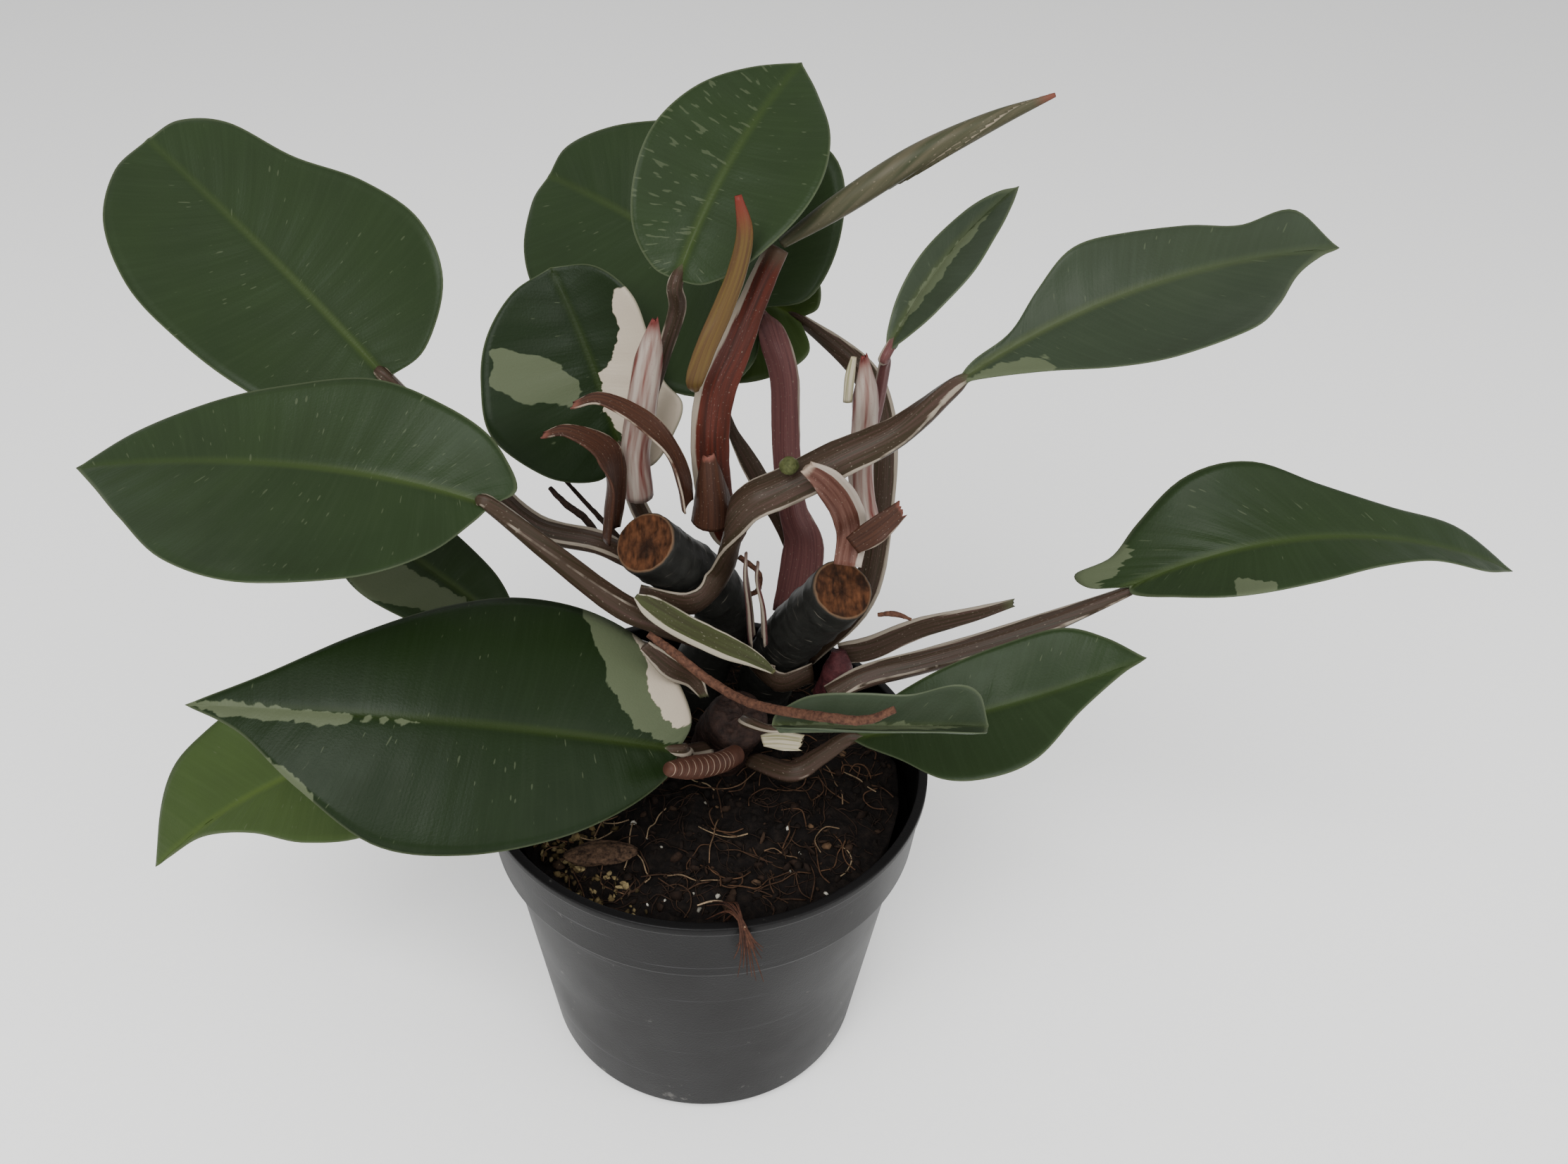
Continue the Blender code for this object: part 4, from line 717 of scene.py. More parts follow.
def build_band(band, material, nodes=None, fine=7):
    """A stalk, sheath or scale leaf lofted through its stations, with a slightly uneven skin."""
    places = [Vector(s[0]) for s in band.stations]
    last = len(places) - 1
    steps = last * fine
    span = sum((b - a).length for a, b in zip(places, places[1:]))
    wings = WINGS.get(band.name, (0.0, 0.0))
    torn = band.name.startswith(("cataphyll", "strap", "sheath"))
    points = []
    fields = {name: [] for name in ("share", "run", "length", "width", "wing")}
    for i in range(steps + 1):
        t = i / steps
        values = [spline([(s[k], 0, 0) for s in band.stations], t).x for k in (1, 2, 3)]
        face = spline([s[4] for s in band.stations], t)
        ahead = spline_tangent(places, t)
        loop = band_section(spline(places, t), ahead, face, *values, band.wrapped)
        centre = sum((p for p, share in loop), Vector()) / len(loop)
        for point, share in loop:
            skin = lumps(point, 5.0) * 0.035
            tear = lumps((share * 9, t * 3, 5.0), 1.7) * 1.4 * smoothstep(0.9, 1.0, t) if torn else 0.0
            points.append(centre + (point - centre) * (1 + skin) + ahead * tear)
            fields["share"].append(share)
            fields["run"].append(t)
            fields["length"].append(t * span)
            fields["width"].append(values[0])
            fields["wing"].append(wings[1] if share > 0 else wings[0])
    size = len(points) // (steps + 1)
    faces = end_caps(steps, size)
    for i in range(steps):
        for k in range(size):
            a = i * size + k
            b = i * size + (k + 1) % size
            faces.append([b, a, a + size, b + size])
    nodes = [band.name] if nodes is None else nodes
    return add_piece("live_" + band.name, points, faces, material, nodes, fields)


def ring_walls(rings, sides, start=0):
    """Faces that join each ring of points to the next."""
    faces = []
    for i in range(rings):
        for k in range(sides):
            a = start + i * sides + k
            b = start + i * sides + (k + 1) % sides
            faces.append([a, b, b + sides, a + sides])
    return faces


def end_caps(rings, sides):
    return [list(range(sides)), [rings * sides + k for k in reversed(range(sides))]]


def tube(stations, sides=14, rings=None, bumps=0.0, ring_every=0.0, ring_height=0.0):
    """Points, faces and fields of a round tube with closed ends through (place, radius) stations."""
    places = [Vector(place) for place, radius in stations]
    radii = [(radius, 0, 0) for place, radius in stations]
    rings = rings or 6 * len(stations)
    span = sum((b - a).length for a, b in zip(places, places[1:]))
    points = []
    fields = {"length": [], "round": []}
    across = None
    for i in range(rings + 1):
        t = i / rings
        centre = spline(places, t)
        ahead = spline_tangent(places, t)
        across = ahead.orthogonal() if across is None else across - ahead * across.dot(ahead)
        across.normalize()
        other = ahead.cross(across)
        radius = max(spline(radii, t).x, 0.08)
        if ring_every:
            phase = (t * span / ring_every) % 1.0
            radius += ring_height * math.exp(-((phase - 0.5) / 0.1) ** 2)
        for k in range(sides):
            angle = 2 * math.pi * k / sides
            out = across * math.cos(angle) + other * math.sin(angle)
            rough = bumps * lumps(centre + out * radius, 1.5) if bumps else 0.0
            points.append(centre + out * (radius + rough))
            fields["length"].append(t * span)
            fields["round"].append(k / sides)
    return points, end_caps(rings, sides) + ring_walls(rings, sides), fields


def joined(parts):
    """Several (points, faces, fields) as one."""
    points, faces, fields = [], [], {}
    for some, shapes, values in parts:
        start = len(points)
        points += some
        faces += [[v + start for v in face] for face in shapes]
        for name, numbers in values.items():
            fields.setdefault(name, []).extend(numbers)
    return points, faces, fields


def build_stem(name, path, material, is_cut, sides=72, rings=110):
    """A leaning stem with leaf scars round it and, at its top, a rough cracked cut or a blunt grown end."""
    size = sizes()
    places = [Vector(p) for p in path]
    points = []
    fields = {"length": [], "radius": [], "cap": [], "round": []}
    span = sum((b - a).length for a, b in zip(places, places[1:]))
    across = None
    for i in range(rings + 1):
        t = i / rings
        centre = spline(places, t)
        ahead = spline_tangent(places, t)
        across = Vector((1, 0, 0)) if across is None else across
        across = (across - ahead * across.dot(ahead)).normalized()
        other = ahead.cross(across)
        for k in range(sides):
            angle = 2 * math.pi * k / sides
            out = across * math.cos(angle) + other * math.sin(angle)
            tilt = 0.012 * math.sin(angle + 2.0)
            ring = sum(math.exp(-((t + tilt - scar) / SCAR_WIDTH) ** 2) for scar in SCAR_PLACES)
            spot = centre + out * STEM_RADIUS
            ridge = 0.12 * lumps((angle * 6, t * span * 0.12, 3.0), 1.0)
            radius = STEM_RADIUS - 0.5 + size.ring_height / MM * ring * 0.7 + ridge + 0.25 * lumps(spot, 6.0)
            points.append(centre + out * radius)
            fields["length"].append(t * span)
            fields["radius"].append(1.0)
            fields["cap"].append(0.0)
            fields["round"].append(k / sides)
    faces = [list(reversed(range(sides)))] + ring_walls(rings, sides)
    ahead = spline_tangent(places, 1.0)
    other = ahead.cross(across)
    steps = 14
    start = rings * sides
    for ring in range(1, steps + 1):
        share = 1 - ring / (steps + 1)
        for k in range(sides):
            angle = 2 * math.pi * k / sides
            out = across * math.cos(angle) + other * math.sin(angle)
            spot = centre + out * STEM_RADIUS * share
            lip = 0.5 * smoothstep(0.80, 0.97, share) - 0.55 * smoothstep(0.45, 0.0, share)
            if not is_cut:
                lip = 3.0 * math.sqrt(1 - share * share)
            rough = 0.8 * lumps(spot, 2.2) + 0.35 * lumps((angle * 5, share * 2, 1.0), 1.0)
            points.append(spot - out * 0.5 * share + ahead * (lip + rough * (1 - share ** 6)))
            fields["length"].append(span)
            fields["radius"].append(share)
            fields["cap"].append(1.0 if is_cut else 0.0)
            fields["round"].append(k / sides)
        faces += ring_walls(1, sides, start + (ring - 1) * sides)
    top = start + steps * sides
    faces.append([top + k for k in range(sides)])
    return add_piece("live_" + name, points, faces, material, [name], fields)


def soil_height(x, y):
    """The top of the peat in millimetres, lumpy, and low against the pot's wall."""
    share = math.hypot(x, y) / SOIL_RADIUS
    clods = sizes().clod_height / MM * lumps((x, y, 0.0), CLOD_SIZE, 5)
    fine = 0.7 * lumps((x, y, 40.0), GRAIN_SIZE, 3)
    return SOIL_PEAK - SOIL_SETTLES - SOIL_DISH * share ** 2 + (clods + fine) * 0.8


def rounded(profile, radius, steps=4):
    """A profile of (radius, height) corners with each corner rounded off."""
    smooth = [Vector(profile[0])]
    for before, corner, after in zip(profile, profile[1:], profile[2:]):
        corner = Vector(corner)
        back = Vector(before) - corner
        on = Vector(after) - corner
        reach = min(radius, back.length * 0.45, on.length * 0.45)
        start = corner + back.normalized() * reach
        end = corner + on.normalized() * reach
        for i in range(steps + 1):
            t = i / steps
            smooth.append(start * (1 - t) ** 2 + corner * 2 * t * (1 - t) + end * t ** 2)
    smooth.append(Vector(profile[-1]))
    return smooth


def lathe(profile, sides):
    """Points and faces of a closed loop of (radius, height) turned about Z."""
    points = []
    faces = []
    count = len(profile)
    for k in range(sides):
        angle = 2 * math.pi * k / sides
        points += [Vector((r * math.cos(angle), r * math.sin(angle), z)) for r, z in profile]
    for k in range(sides):
        for i in range(count):
            a = k * count + i
            b = k * count + (i + 1) % count
            c = (k + 1) % sides * count + (i + 1) % count
            d = (k + 1) % sides * count + i
            faces.append([a, b, c, d])
    return points, faces


def crumb(centre, size, seed, flat=1.0, grain=0.35):
    """A small uneven lump: an icosahedron pushed about by noise."""
    shape = bmesh.new()
    bmesh.ops.create_icosphere(shape, subdivisions=1 if size < 2.2 else 2, radius=1.0)
    spin = Euler([seed * step % 1 * math.pi * 2 for step in (1.7, 2.9, 4.3)])
    points = []
    for vertex in shape.verts:
        place = vertex.co.copy()
        place *= 1 + grain * lumps(place * 1.3 + Vector((seed * 13, seed * 7, seed)), 1.0, 2)
        place.z *= flat
        place.rotate(spin)
        points.append(Vector(centre) + place * size)
    faces = [[v.index for v in face.verts] for face in shape.faces]
    shape.free()
    return points, faces, {"tone": [seed % 1] * len(points)}


# ---- Materials ---------------------------------------------------------------------------------------------

def add_node(tree, kind, inputs=None, **settings):
    """Add a node with its settings. inputs are values for its sockets, or sockets to link from."""
    made = tree.nodes.new(kind)
    for name, value in settings.items():
        setattr(made, name, value)
    for key, value in (inputs or {}).items():
        if isinstance(value, bpy.types.NodeSocket):
            tree.links.new(value, made.inputs[key])
        else:
            made.inputs[key].default_value = value
    return made


def new_material(name, roughness, ior=1.45):
    """A material with its shader's even values set, ready for its pattern's nodes."""
    material = bpy.data.materials.new(name)
    material.use_nodes = True
    tree = material.node_tree
    tree.nodes.clear()
    shader = add_node(tree, "ShaderNodeBsdfPrincipled", {"Roughness": roughness, "IOR": ior,
                                                            "Specular IOR Level": 0.12})
    add_node(tree, "ShaderNodeOutputMaterial", {"Surface": shader.outputs["BSDF"]})
    return material, tree, shader


def leaf_material(name, green):
    """Living aroid leaf, grown: a satin waxed cuticle over green cells, with paler veins, a cream margin line and
    sectors that lack green. It gives the eye soft broad highlights broken by fine striation along the veins."""
    tint = colours()
    material, tree, shader = new_material(name, 0.42)
    vein, reach, rim, along, cream, pale, fleck, under = (
        add_node(tree, "ShaderNodeAttribute", attribute_name=field).outputs["Fac"]
        for field in ("vein", "reach", "rim", "along", "cream", "pale", "fleck", "under"))
    place = add_node(tree, "ShaderNodeTexCoord").outputs["Object"]
    surface = add_node(tree, "ShaderNodeCombineXYZ", {"X": vein, "Y": reach, "Z": under}).outputs[0]
    # cloudy patches 15 mm across
    cloud = add_node(tree, "ShaderNodeTexNoise", {"Vector": place, "Scale": 65.0, "Detail": 3.0}).outputs[0]
    shade = tuple(c * 0.68 for c in green[:3]) + (1.0,)
    colour = add_node(tree, "ShaderNodeMix", {0: cloud, 6: green, 7: shade}, data_type="RGBA").outputs[2]
    # striation 0.9 mm apart that runs with the side veins
    stretched = add_node(tree, "ShaderNodeVectorMath", {0: surface, 1: (1.1, 0.05, 1.0)}, operation="MULTIPLY")
    stripe = add_node(tree, "ShaderNodeTexNoise",
                      {"Vector": stretched.outputs[0], "Scale": 1.0, "Detail": 2.0}).outputs[0]
    stripe_share = add_node(tree, "ShaderNodeMapRange",
                            {0: stripe, 1: 0.45, 2: 0.75, 3: 0.0, 4: 0.07}).outputs[0]
    light = tuple(min(c * 1.7 + 0.012, 1.0) for c in green[:3]) + (1.0,)
    colour = add_node(tree, "ShaderNodeMix", {0: stripe_share, 6: colour, 7: light},
                      data_type="RGBA").outputs[2]
    # the midrib, about 2 mm wide, fading towards the tip
    near_rib = add_node(tree, "ShaderNodeMath", {0: reach}, operation="ABSOLUTE").outputs[0]
    rib = add_node(tree, "ShaderNodeMapRange", {0: near_rib, 1: 0.2, 2: 1.8, 3: 0.42, 4: 0.0},
                   interpolation_type="SMOOTHSTEP").outputs[0]
    fading = add_node(tree, "ShaderNodeMapRange", {0: along, 1: 0.1, 2: 0.95, 3: 1.0, 4: 0.35}).outputs[0]
    rib = add_node(tree, "ShaderNodeMath", {0: rib, 1: fading}, operation="MULTIPLY").outputs[0]
    rib_colour = (green[0] * 1.9 + 0.01, green[1] * 1.8 + 0.01, green[2] * 1.2, 1.0)
    colour = add_node(tree, "ShaderNodeMix", {0: rib, 6: colour, 7: rib_colour}, data_type="RGBA").outputs[2]
    # flecks about 0.7 by 4 mm, strewn along the veins
    strewn = add_node(tree, "ShaderNodeVectorMath", {0: surface, 1: (1.3, 0.28, 1.0)}, operation="MULTIPLY")
    speck = add_node(tree, "ShaderNodeTexNoise",
                     {"Vector": strewn.outputs[0], "Scale": 1.0, "Detail": 1.0, "Roughness": 0.35}).outputs[0]
    speck = add_node(tree, "ShaderNodeMath", {0: fleck, 1: 0.14, 2: speck}, operation="MULTIPLY_ADD").outputs[0]
    speck = add_node(tree, "ShaderNodeMapRange", {0: speck, 1: 0.76, 2: 0.81, 3: 0.0, 4: 0.4},
                     interpolation_type="SMOOTHSTEP").outputs[0]
    colour = add_node(tree, "ShaderNodeMix", {0: speck, 6: colour, 7: tint.leaf_pale},
                      data_type="RGBA").outputs[2]
    # sectors, their edges ragged by up to 0.9 mm
    feather = add_node(tree, "ShaderNodeVectorMath", {0: surface, 1: (0.35, 0.12, 1.0)}, operation="MULTIPLY")
    ragged = add_node(tree, "ShaderNodeTexNoise",
                      {"Vector": feather.outputs[0], "Scale": 1.0, "Detail": 3.0}).outputs[0]
    ragged = add_node(tree, "ShaderNodeMapRange", {0: ragged, 1: 0.3, 2: 0.7, 3: -0.9, 4: 0.9}).outputs[0]
    for sector, shown, most in ((pale, tint.leaf_pale, 0.85), (cream, tint.leaf_cream, 1.0)):
        depth = add_node(tree, "ShaderNodeMath", {0: sector, 1: ragged}, operation="ADD").outputs[0]
        depth = add_node(tree, "ShaderNodeMapRange", {0: depth, 1: -0.15, 2: 0.15, 3: 0.0, 4: most}).outputs[0]
        colour = add_node(tree, "ShaderNodeMix", {0: depth, 6: colour, 7: shown}, data_type="RGBA").outputs[2]
    # the thin pale margin
    margin = add_node(tree, "ShaderNodeMapRange", {0: rim, 1: 0.1, 2: 0.5, 3: 0.55, 4: 0.0}).outputs[0]
    colour = add_node(tree, "ShaderNodeMix", {0: margin, 6: colour, 7: tint.leaf_pale},
                      data_type="RGBA").outputs[2]
    # a greyer, paler underside
    beneath = add_node(tree, "ShaderNodeMath", {0: under, 1: 0.55}, operation="MULTIPLY").outputs[0]
    dull = tuple(c * 1.5 + 0.02 for c in green[:3]) + (1.0,)
    colour = add_node(tree, "ShaderNodeMix", {0: beneath, 6: colour, 7: dull}, data_type="RGBA").outputs[2]
    tree.links.new(colour, shader.inputs["Base Color"])
    gloss = add_node(tree, "ShaderNodeMapRange", {0: cloud, 1: 0.3, 2: 0.7, 3: 0.36, 4: 0.50}).outputs[0]
    tree.links.new(gloss, shader.inputs["Roughness"])
    # cells 0.5 mm across, drawn coarser than life so that they show
    cells = add_node(tree, "ShaderNodeTexNoise", {"Vector": place, "Scale": 1800.0, "Detail": 2.0}).outputs[0]
    height = add_node(tree, "ShaderNodeMath", {0: stripe, 1: 1.6, 2: cells},
                      operation="MULTIPLY_ADD").outputs[0]
    bump = add_node(tree, "ShaderNodeBump", {"Strength": 0.22, "Distance": 0.0002, "Height": height})
    tree.links.new(bump.outputs[0], shader.inputs["Normal"])
    return material


def skin_material(name, skin, deep, wing_colour, tip_colour, tip_start=0.93, streak_width=1.1):
    """Skin of a leaf stalk, grown: smooth and waxy, with streaks along it, a colourless wing down each edge and
    small pale pores. It gives the eye long narrow highlights and a two-tone stripe."""
    material, tree, shader = new_material(name, 0.40)
    share, run, length, width, wing = (
        add_node(tree, "ShaderNodeAttribute", attribute_name=field).outputs["Fac"]
        for field in ("share", "run", "length", "width", "wing"))
    across = add_node(tree, "ShaderNodeMath", {0: share, 1: width}, operation="MULTIPLY").outputs[0]
    surface = add_node(tree, "ShaderNodeCombineXYZ", {"X": across, "Y": length}).outputs[0]
    # streaks of the given width, about 20 mm long
    drawn = add_node(tree, "ShaderNodeVectorMath", {0: surface, 1: (1 / streak_width, 0.045, 1.0)},
                     operation="MULTIPLY")
    streak = add_node(tree, "ShaderNodeTexNoise",
                      {"Vector": drawn.outputs[0], "Scale": 1.0, "Detail": 3.0}).outputs[0]
    mixed = add_node(tree, "ShaderNodeMapRange", {0: streak, 1: 0.38, 2: 0.66}).outputs[0]
    colour = add_node(tree, "ShaderNodeMix", {0: mixed, 6: skin, 7: deep}, data_type="RGBA").outputs[2]
    # pores 0.4 mm across
    dots = add_node(tree, "ShaderNodeTexNoise", {"Vector": surface, "Scale": 1.5, "Detail": 0.0}).outputs[0]
    dots = add_node(tree, "ShaderNodeMapRange", {0: dots, 1: 0.74, 2: 0.79, 3: 0.0, 4: 0.3}).outputs[0]
    colour = add_node(tree, "ShaderNodeMix", {0: dots, 6: colour, 7: wing_colour}, data_type="RGBA").outputs[2]
    # the pale wing, its inner line wavering by a few tenths of a millimetre
    edge = add_node(tree, "ShaderNodeMath", {0: share}, operation="ABSOLUTE").outputs[0]
    waver = add_node(tree, "ShaderNodeMapRange", {0: streak, 1: 0.3, 2: 0.7, 3: -0.09, 4: 0.09}).outputs[0]
    edge = add_node(tree, "ShaderNodeMath", {0: edge, 1: waver}, operation="ADD").outputs[0]
    edge = add_node(tree, "ShaderNodeMath", {0: edge, 1: wing}, operation="ADD").outputs[0]
    winged = add_node(tree, "ShaderNodeMapRange", {0: edge, 1: 1.05, 2: 1.11, 3: 0.0, 4: 0.92}).outputs[0]
    colour = add_node(tree, "ShaderNodeMix", {0: winged, 6: colour, 7: wing_colour},
                      data_type="RGBA").outputs[2]
    ending = add_node(tree, "ShaderNodeMapRange", {0: run, 1: tip_start, 2: 1.0},
                      interpolation_type="SMOOTHSTEP").outputs[0]
    colour = add_node(tree, "ShaderNodeMix", {0: ending, 6: colour, 7: tip_colour}, data_type="RGBA").outputs[2]
    tree.links.new(colour, shader.inputs["Base Color"])
    gloss = add_node(tree, "ShaderNodeMapRange", {0: streak, 1: 0.3, 2: 0.7, 3: 0.34, 4: 0.50}).outputs[0]
    tree.links.new(gloss, shader.inputs["Roughness"])
    bump = add_node(tree, "ShaderNodeBump", {"Strength": 0.4, "Distance": 0.0003, "Height": streak})
    tree.links.new(bump.outputs[0], shader.inputs["Normal"])
    return material


def stem_material():
    """Bark of a young climbing stem, grown: dark, dull and fine grained, scratched pale, with ringed leaf scars.
    The cut top is dried fibre, dull brown with a dark core, cracks and a paler lip."""
    material, tree, shader = new_material("stem_bark", 0.55)
    length, radius, cap, around = (
        add_node(tree, "ShaderNodeAttribute", attribute_name=field).outputs["Fac"]
        for field in ("length", "radius", "cap", "round"))
    place = add_node(tree, "ShaderNodeTexCoord").outputs["Object"]
    grain = add_node(tree, "ShaderNodeTexNoise", {"Vector": place, "Scale": 260.0, "Detail": 4.0}).outputs[0]
    bark = add_node(tree, "ShaderNodeMix", {0: grain, 6: linear("#0f0f0e"), 7: linear("#2b2b28")},
                    data_type="RGBA").outputs[2]
    turned = add_node(tree, "ShaderNodeCombineXYZ", {"X": around, "Y": length}).outputs[0]
    scratched = add_node(tree, "ShaderNodeVectorMath", {0: turned, 1: (5.0, 1.3, 1.0)}, operation="MULTIPLY")
    scratch = add_node(tree, "ShaderNodeTexNoise",
                       {"Vector": scratched.outputs[0], "Scale": 1.0, "Detail": 4.0}).outputs[0]
    scratch = add_node(tree, "ShaderNodeMapRange", {0: scratch, 1: 0.64, 2: 0.70, 3: 0.0, 4: 0.35}).outputs[0]
    bark = add_node(tree, "ShaderNodeMix", {0: scratch, 6: bark, 7: linear("#8a8478")},
                    data_type="RGBA").outputs[2]
    # the cut: fibres about 1 mm wide, cracks, a dark core and a lip
    drawn = add_node(tree, "ShaderNodeVectorMath", {0: place, 1: (900.0, 260.0, 420.0)}, operation="MULTIPLY")
    fibre = add_node(tree, "ShaderNodeTexNoise",
                     {"Vector": drawn.outputs[0], "Scale": 1.0, "Detail": 4.0}).outputs[0]
    clots = add_node(tree, "ShaderNodeTexNoise", {"Vector": place, "Scale": 170.0, "Detail": 4.0}).outputs[0]
    fibre = add_node(tree, "ShaderNodeMapRange", {0: fibre, 1: 0.32, 2: 0.70}).outputs[0]
    cut = add_node(tree, "ShaderNodeMix", {0: fibre, 6: linear("#22140c"), 7: linear("#523320")},
                   data_type="RGBA").outputs[2]
    clots = add_node(tree, "ShaderNodeMapRange", {0: clots, 1: 0.50, 2: 0.66, 3: 0.0, 4: 0.8}).outputs[0]
    cut = add_node(tree, "ShaderNodeMix", {0: clots, 6: cut, 7: linear("#17100c")}, data_type="RGBA").outputs[2]
    core = add_node(tree, "ShaderNodeMapRange", {0: radius, 1: 0.05, 2: 0.45, 3: 0.6, 4: 0.0}).outputs[0]
    cut = add_node(tree, "ShaderNodeMix", {0: core, 6: cut, 7: linear("#1f140f")}, data_type="RGBA").outputs[2]
    lip = add_node(tree, "ShaderNodeMapRange", {0: radius, 1: 0.90, 2: 0.95, 3: 0.0, 4: 0.7}).outputs[0]
    cut = add_node(tree, "ShaderNodeMix", {0: lip, 6: cut, 7: linear("#66503c")}, data_type="RGBA").outputs[2]
    colour = add_node(tree, "ShaderNodeMix", {0: cap, 6: bark, 7: cut}, data_type="RGBA").outputs[2]
    tree.links.new(colour, shader.inputs["Base Color"])
    dull = add_node(tree, "ShaderNodeMapRange", {0: cap, 3: 0.50, 4: 0.90}).outputs[0]
    tree.links.new(dull, shader.inputs["Roughness"])
    bump = add_node(tree, "ShaderNodeBump", {"Strength": 0.6, "Distance": 0.0004, "Height": grain})
    tree.links.new(bump.outputs[0], shader.inputs["Normal"])
    return material


def grainy_material(name, dark, light, size, roughness, low=0.35, high=0.68):
    """A dull grainy natural surface, such as damp peat, bark or dry root: two tones in grains of a size in
    millimetres, with a bump of the same grain. It gives the eye no highlight, only tone."""
    material, tree, shader = new_material(name, roughness)
    place = add_node(tree, "ShaderNodeTexCoord").outputs["Object"]
    grain = add_node(tree, "ShaderNodeTexNoise", {"Vector": place, "Scale": 1 / (size * MM), "Detail": 6.0,
                                                  "Roughness": 0.65}).outputs[0]
    share = add_node(tree, "ShaderNodeMapRange", {0: grain, 1: low, 2: high}).outputs[0]
    colour = add_node(tree, "ShaderNodeMix", {0: share, 6: dark, 7: light}, data_type="RGBA").outputs[2]
    tree.links.new(colour, shader.inputs["Base Color"])
    bump = add_node(tree, "ShaderNodeBump", {"Strength": 0.8, "Distance": size * MM * 0.4, "Height": grain})
    tree.links.new(bump.outputs[0], shader.inputs["Normal"])
    return material


def tone_material(name, stops, size, roughness):
    """Loose pieces of one stuff in several tones, each piece with its own: crumbs, fibres and flakes, all dull."""
    material, tree, shader = new_material(name, roughness)
    tone = add_node(tree, "ShaderNodeAttribute", attribute_name="tone").outputs["Fac"]
    ramp = add_node(tree, "ShaderNodeValToRGB", {"Fac": tone})
    for i, (place, code) in enumerate(stops):
        stop = ramp.color_ramp.elements[i] if i < 2 else ramp.color_ramp.elements.new(place)
        stop.position = place
        stop.color = linear(code)
    spot = add_node(tree, "ShaderNodeTexCoord").outputs["Object"]
    grain = add_node(tree, "ShaderNodeTexNoise",
                     {"Vector": spot, "Scale": 1 / (size * MM), "Detail": 4.0}).outputs[0]
    shade = add_node(tree, "ShaderNodeMapRange", {0: grain, 1: 0.3, 2: 0.7, 3: 0.0, 4: 0.6}).outputs[0]
    colour = add_node(tree, "ShaderNodeMix", {0: shade, 6: ramp.outputs[0], 7: colours().peat},
                      data_type="RGBA").outputs[2]
    tree.links.new(colour, shader.inputs["Base Color"])
    bump = add_node(tree, "ShaderNodeBump", {"Strength": 0.7, "Distance": size * MM * 0.3, "Height": grain})
    tree.links.new(bump.outputs[0], shader.inputs["Normal"])
    return material


def pot_material():
    """Recycled polypropylene, injection moulded: nearly black with a faint grain, a satin sheen, drag lines
    from handling and dried water marks low down. It gives the eye a broad dull highlight on the collar."""
    tint = colours()
    material, tree, shader = new_material("polypropylene_moulded", 0.44, 1.49)
    place = add_node(tree, "ShaderNodeTexCoord").outputs["Object"]
    height = add_node(tree, "ShaderNodeSeparateXYZ", {0: place}).outputs["Z"]
    cloud = add_node(tree, "ShaderNodeTexNoise", {"Vector": place, "Scale": 28.0, "Detail": 4.0}).outputs[0]
    warm = (tint.pot[0] * 1.35, tint.pot[1] * 1.15, tint.pot[2] * 1.0, 1.0)
    colour = add_node(tree, "ShaderNodeMix", {0: cloud, 6: tint.pot, 7: warm}, data_type="RGBA").outputs[2]
    # dust and dried water marks, mostly in the lowest 20 mm
    marks = add_node(tree, "ShaderNodeTexNoise",
                     {"Vector": place, "Scale": 190.0, "Detail": 5.0, "Roughness": 0.6}).outputs[0]
    lower = add_node(tree, "ShaderNodeMapRange", {0: height, 1: 0.0, 2: 0.022, 3: 0.07, 4: 0.0}).outputs[0]
    marks = add_node(tree, "ShaderNodeMath", {0: marks, 1: lower}, operation="ADD").outputs[0]
    marks = add_node(tree, "ShaderNodeMapRange", {0: marks, 1: 0.67, 2: 0.75, 3: 0.0, 4: 0.22}).outputs[0]
    colour = add_node(tree, "ShaderNodeMix", {0: marks, 6: colour, 7: linear("#8d8a84")},
                      data_type="RGBA").outputs[2]
    # drag lines round the wall, about 1 mm apart
    drawn = add_node(tree, "ShaderNodeVectorMath", {0: place, 1: (14.0, 14.0, 900.0)}, operation="MULTIPLY")
    drag = add_node(tree, "ShaderNodeTexNoise",
                    {"Vector": drawn.outputs[0], "Scale": 1.0, "Detail": 3.0}).outputs[0]
    drag_share = add_node(tree, "ShaderNodeMapRange", {0: drag, 1: 0.66, 2: 0.75, 3: 0.0, 4: 0.16}).outputs[0]
    colour = add_node(tree, "ShaderNodeMix", {0: drag_share, 6: colour, 7: linear("#77767a")},
                      data_type="RGBA").outputs[2]
    tree.links.new(colour, shader.inputs["Base Color"])
    gloss = add_node(tree, "ShaderNodeMapRange", {0: cloud, 1: 0.3, 2: 0.7, 3: 0.38, 4: 0.50}).outputs[0]
    tree.links.new(gloss, shader.inputs["Roughness"])
    # grain 0.5 mm across, drawn coarser than the mould's so that it shows
    grain = add_node(tree, "ShaderNodeTexNoise", {"Vector": place, "Scale": 2000.0, "Detail": 2.0}).outputs[0]
    bump = add_node(tree, "ShaderNodeBump", {"Strength": 0.25, "Distance": 0.0002, "Height": grain})
    tree.links.new(bump.outputs[0], shader.inputs["Normal"])
    return material


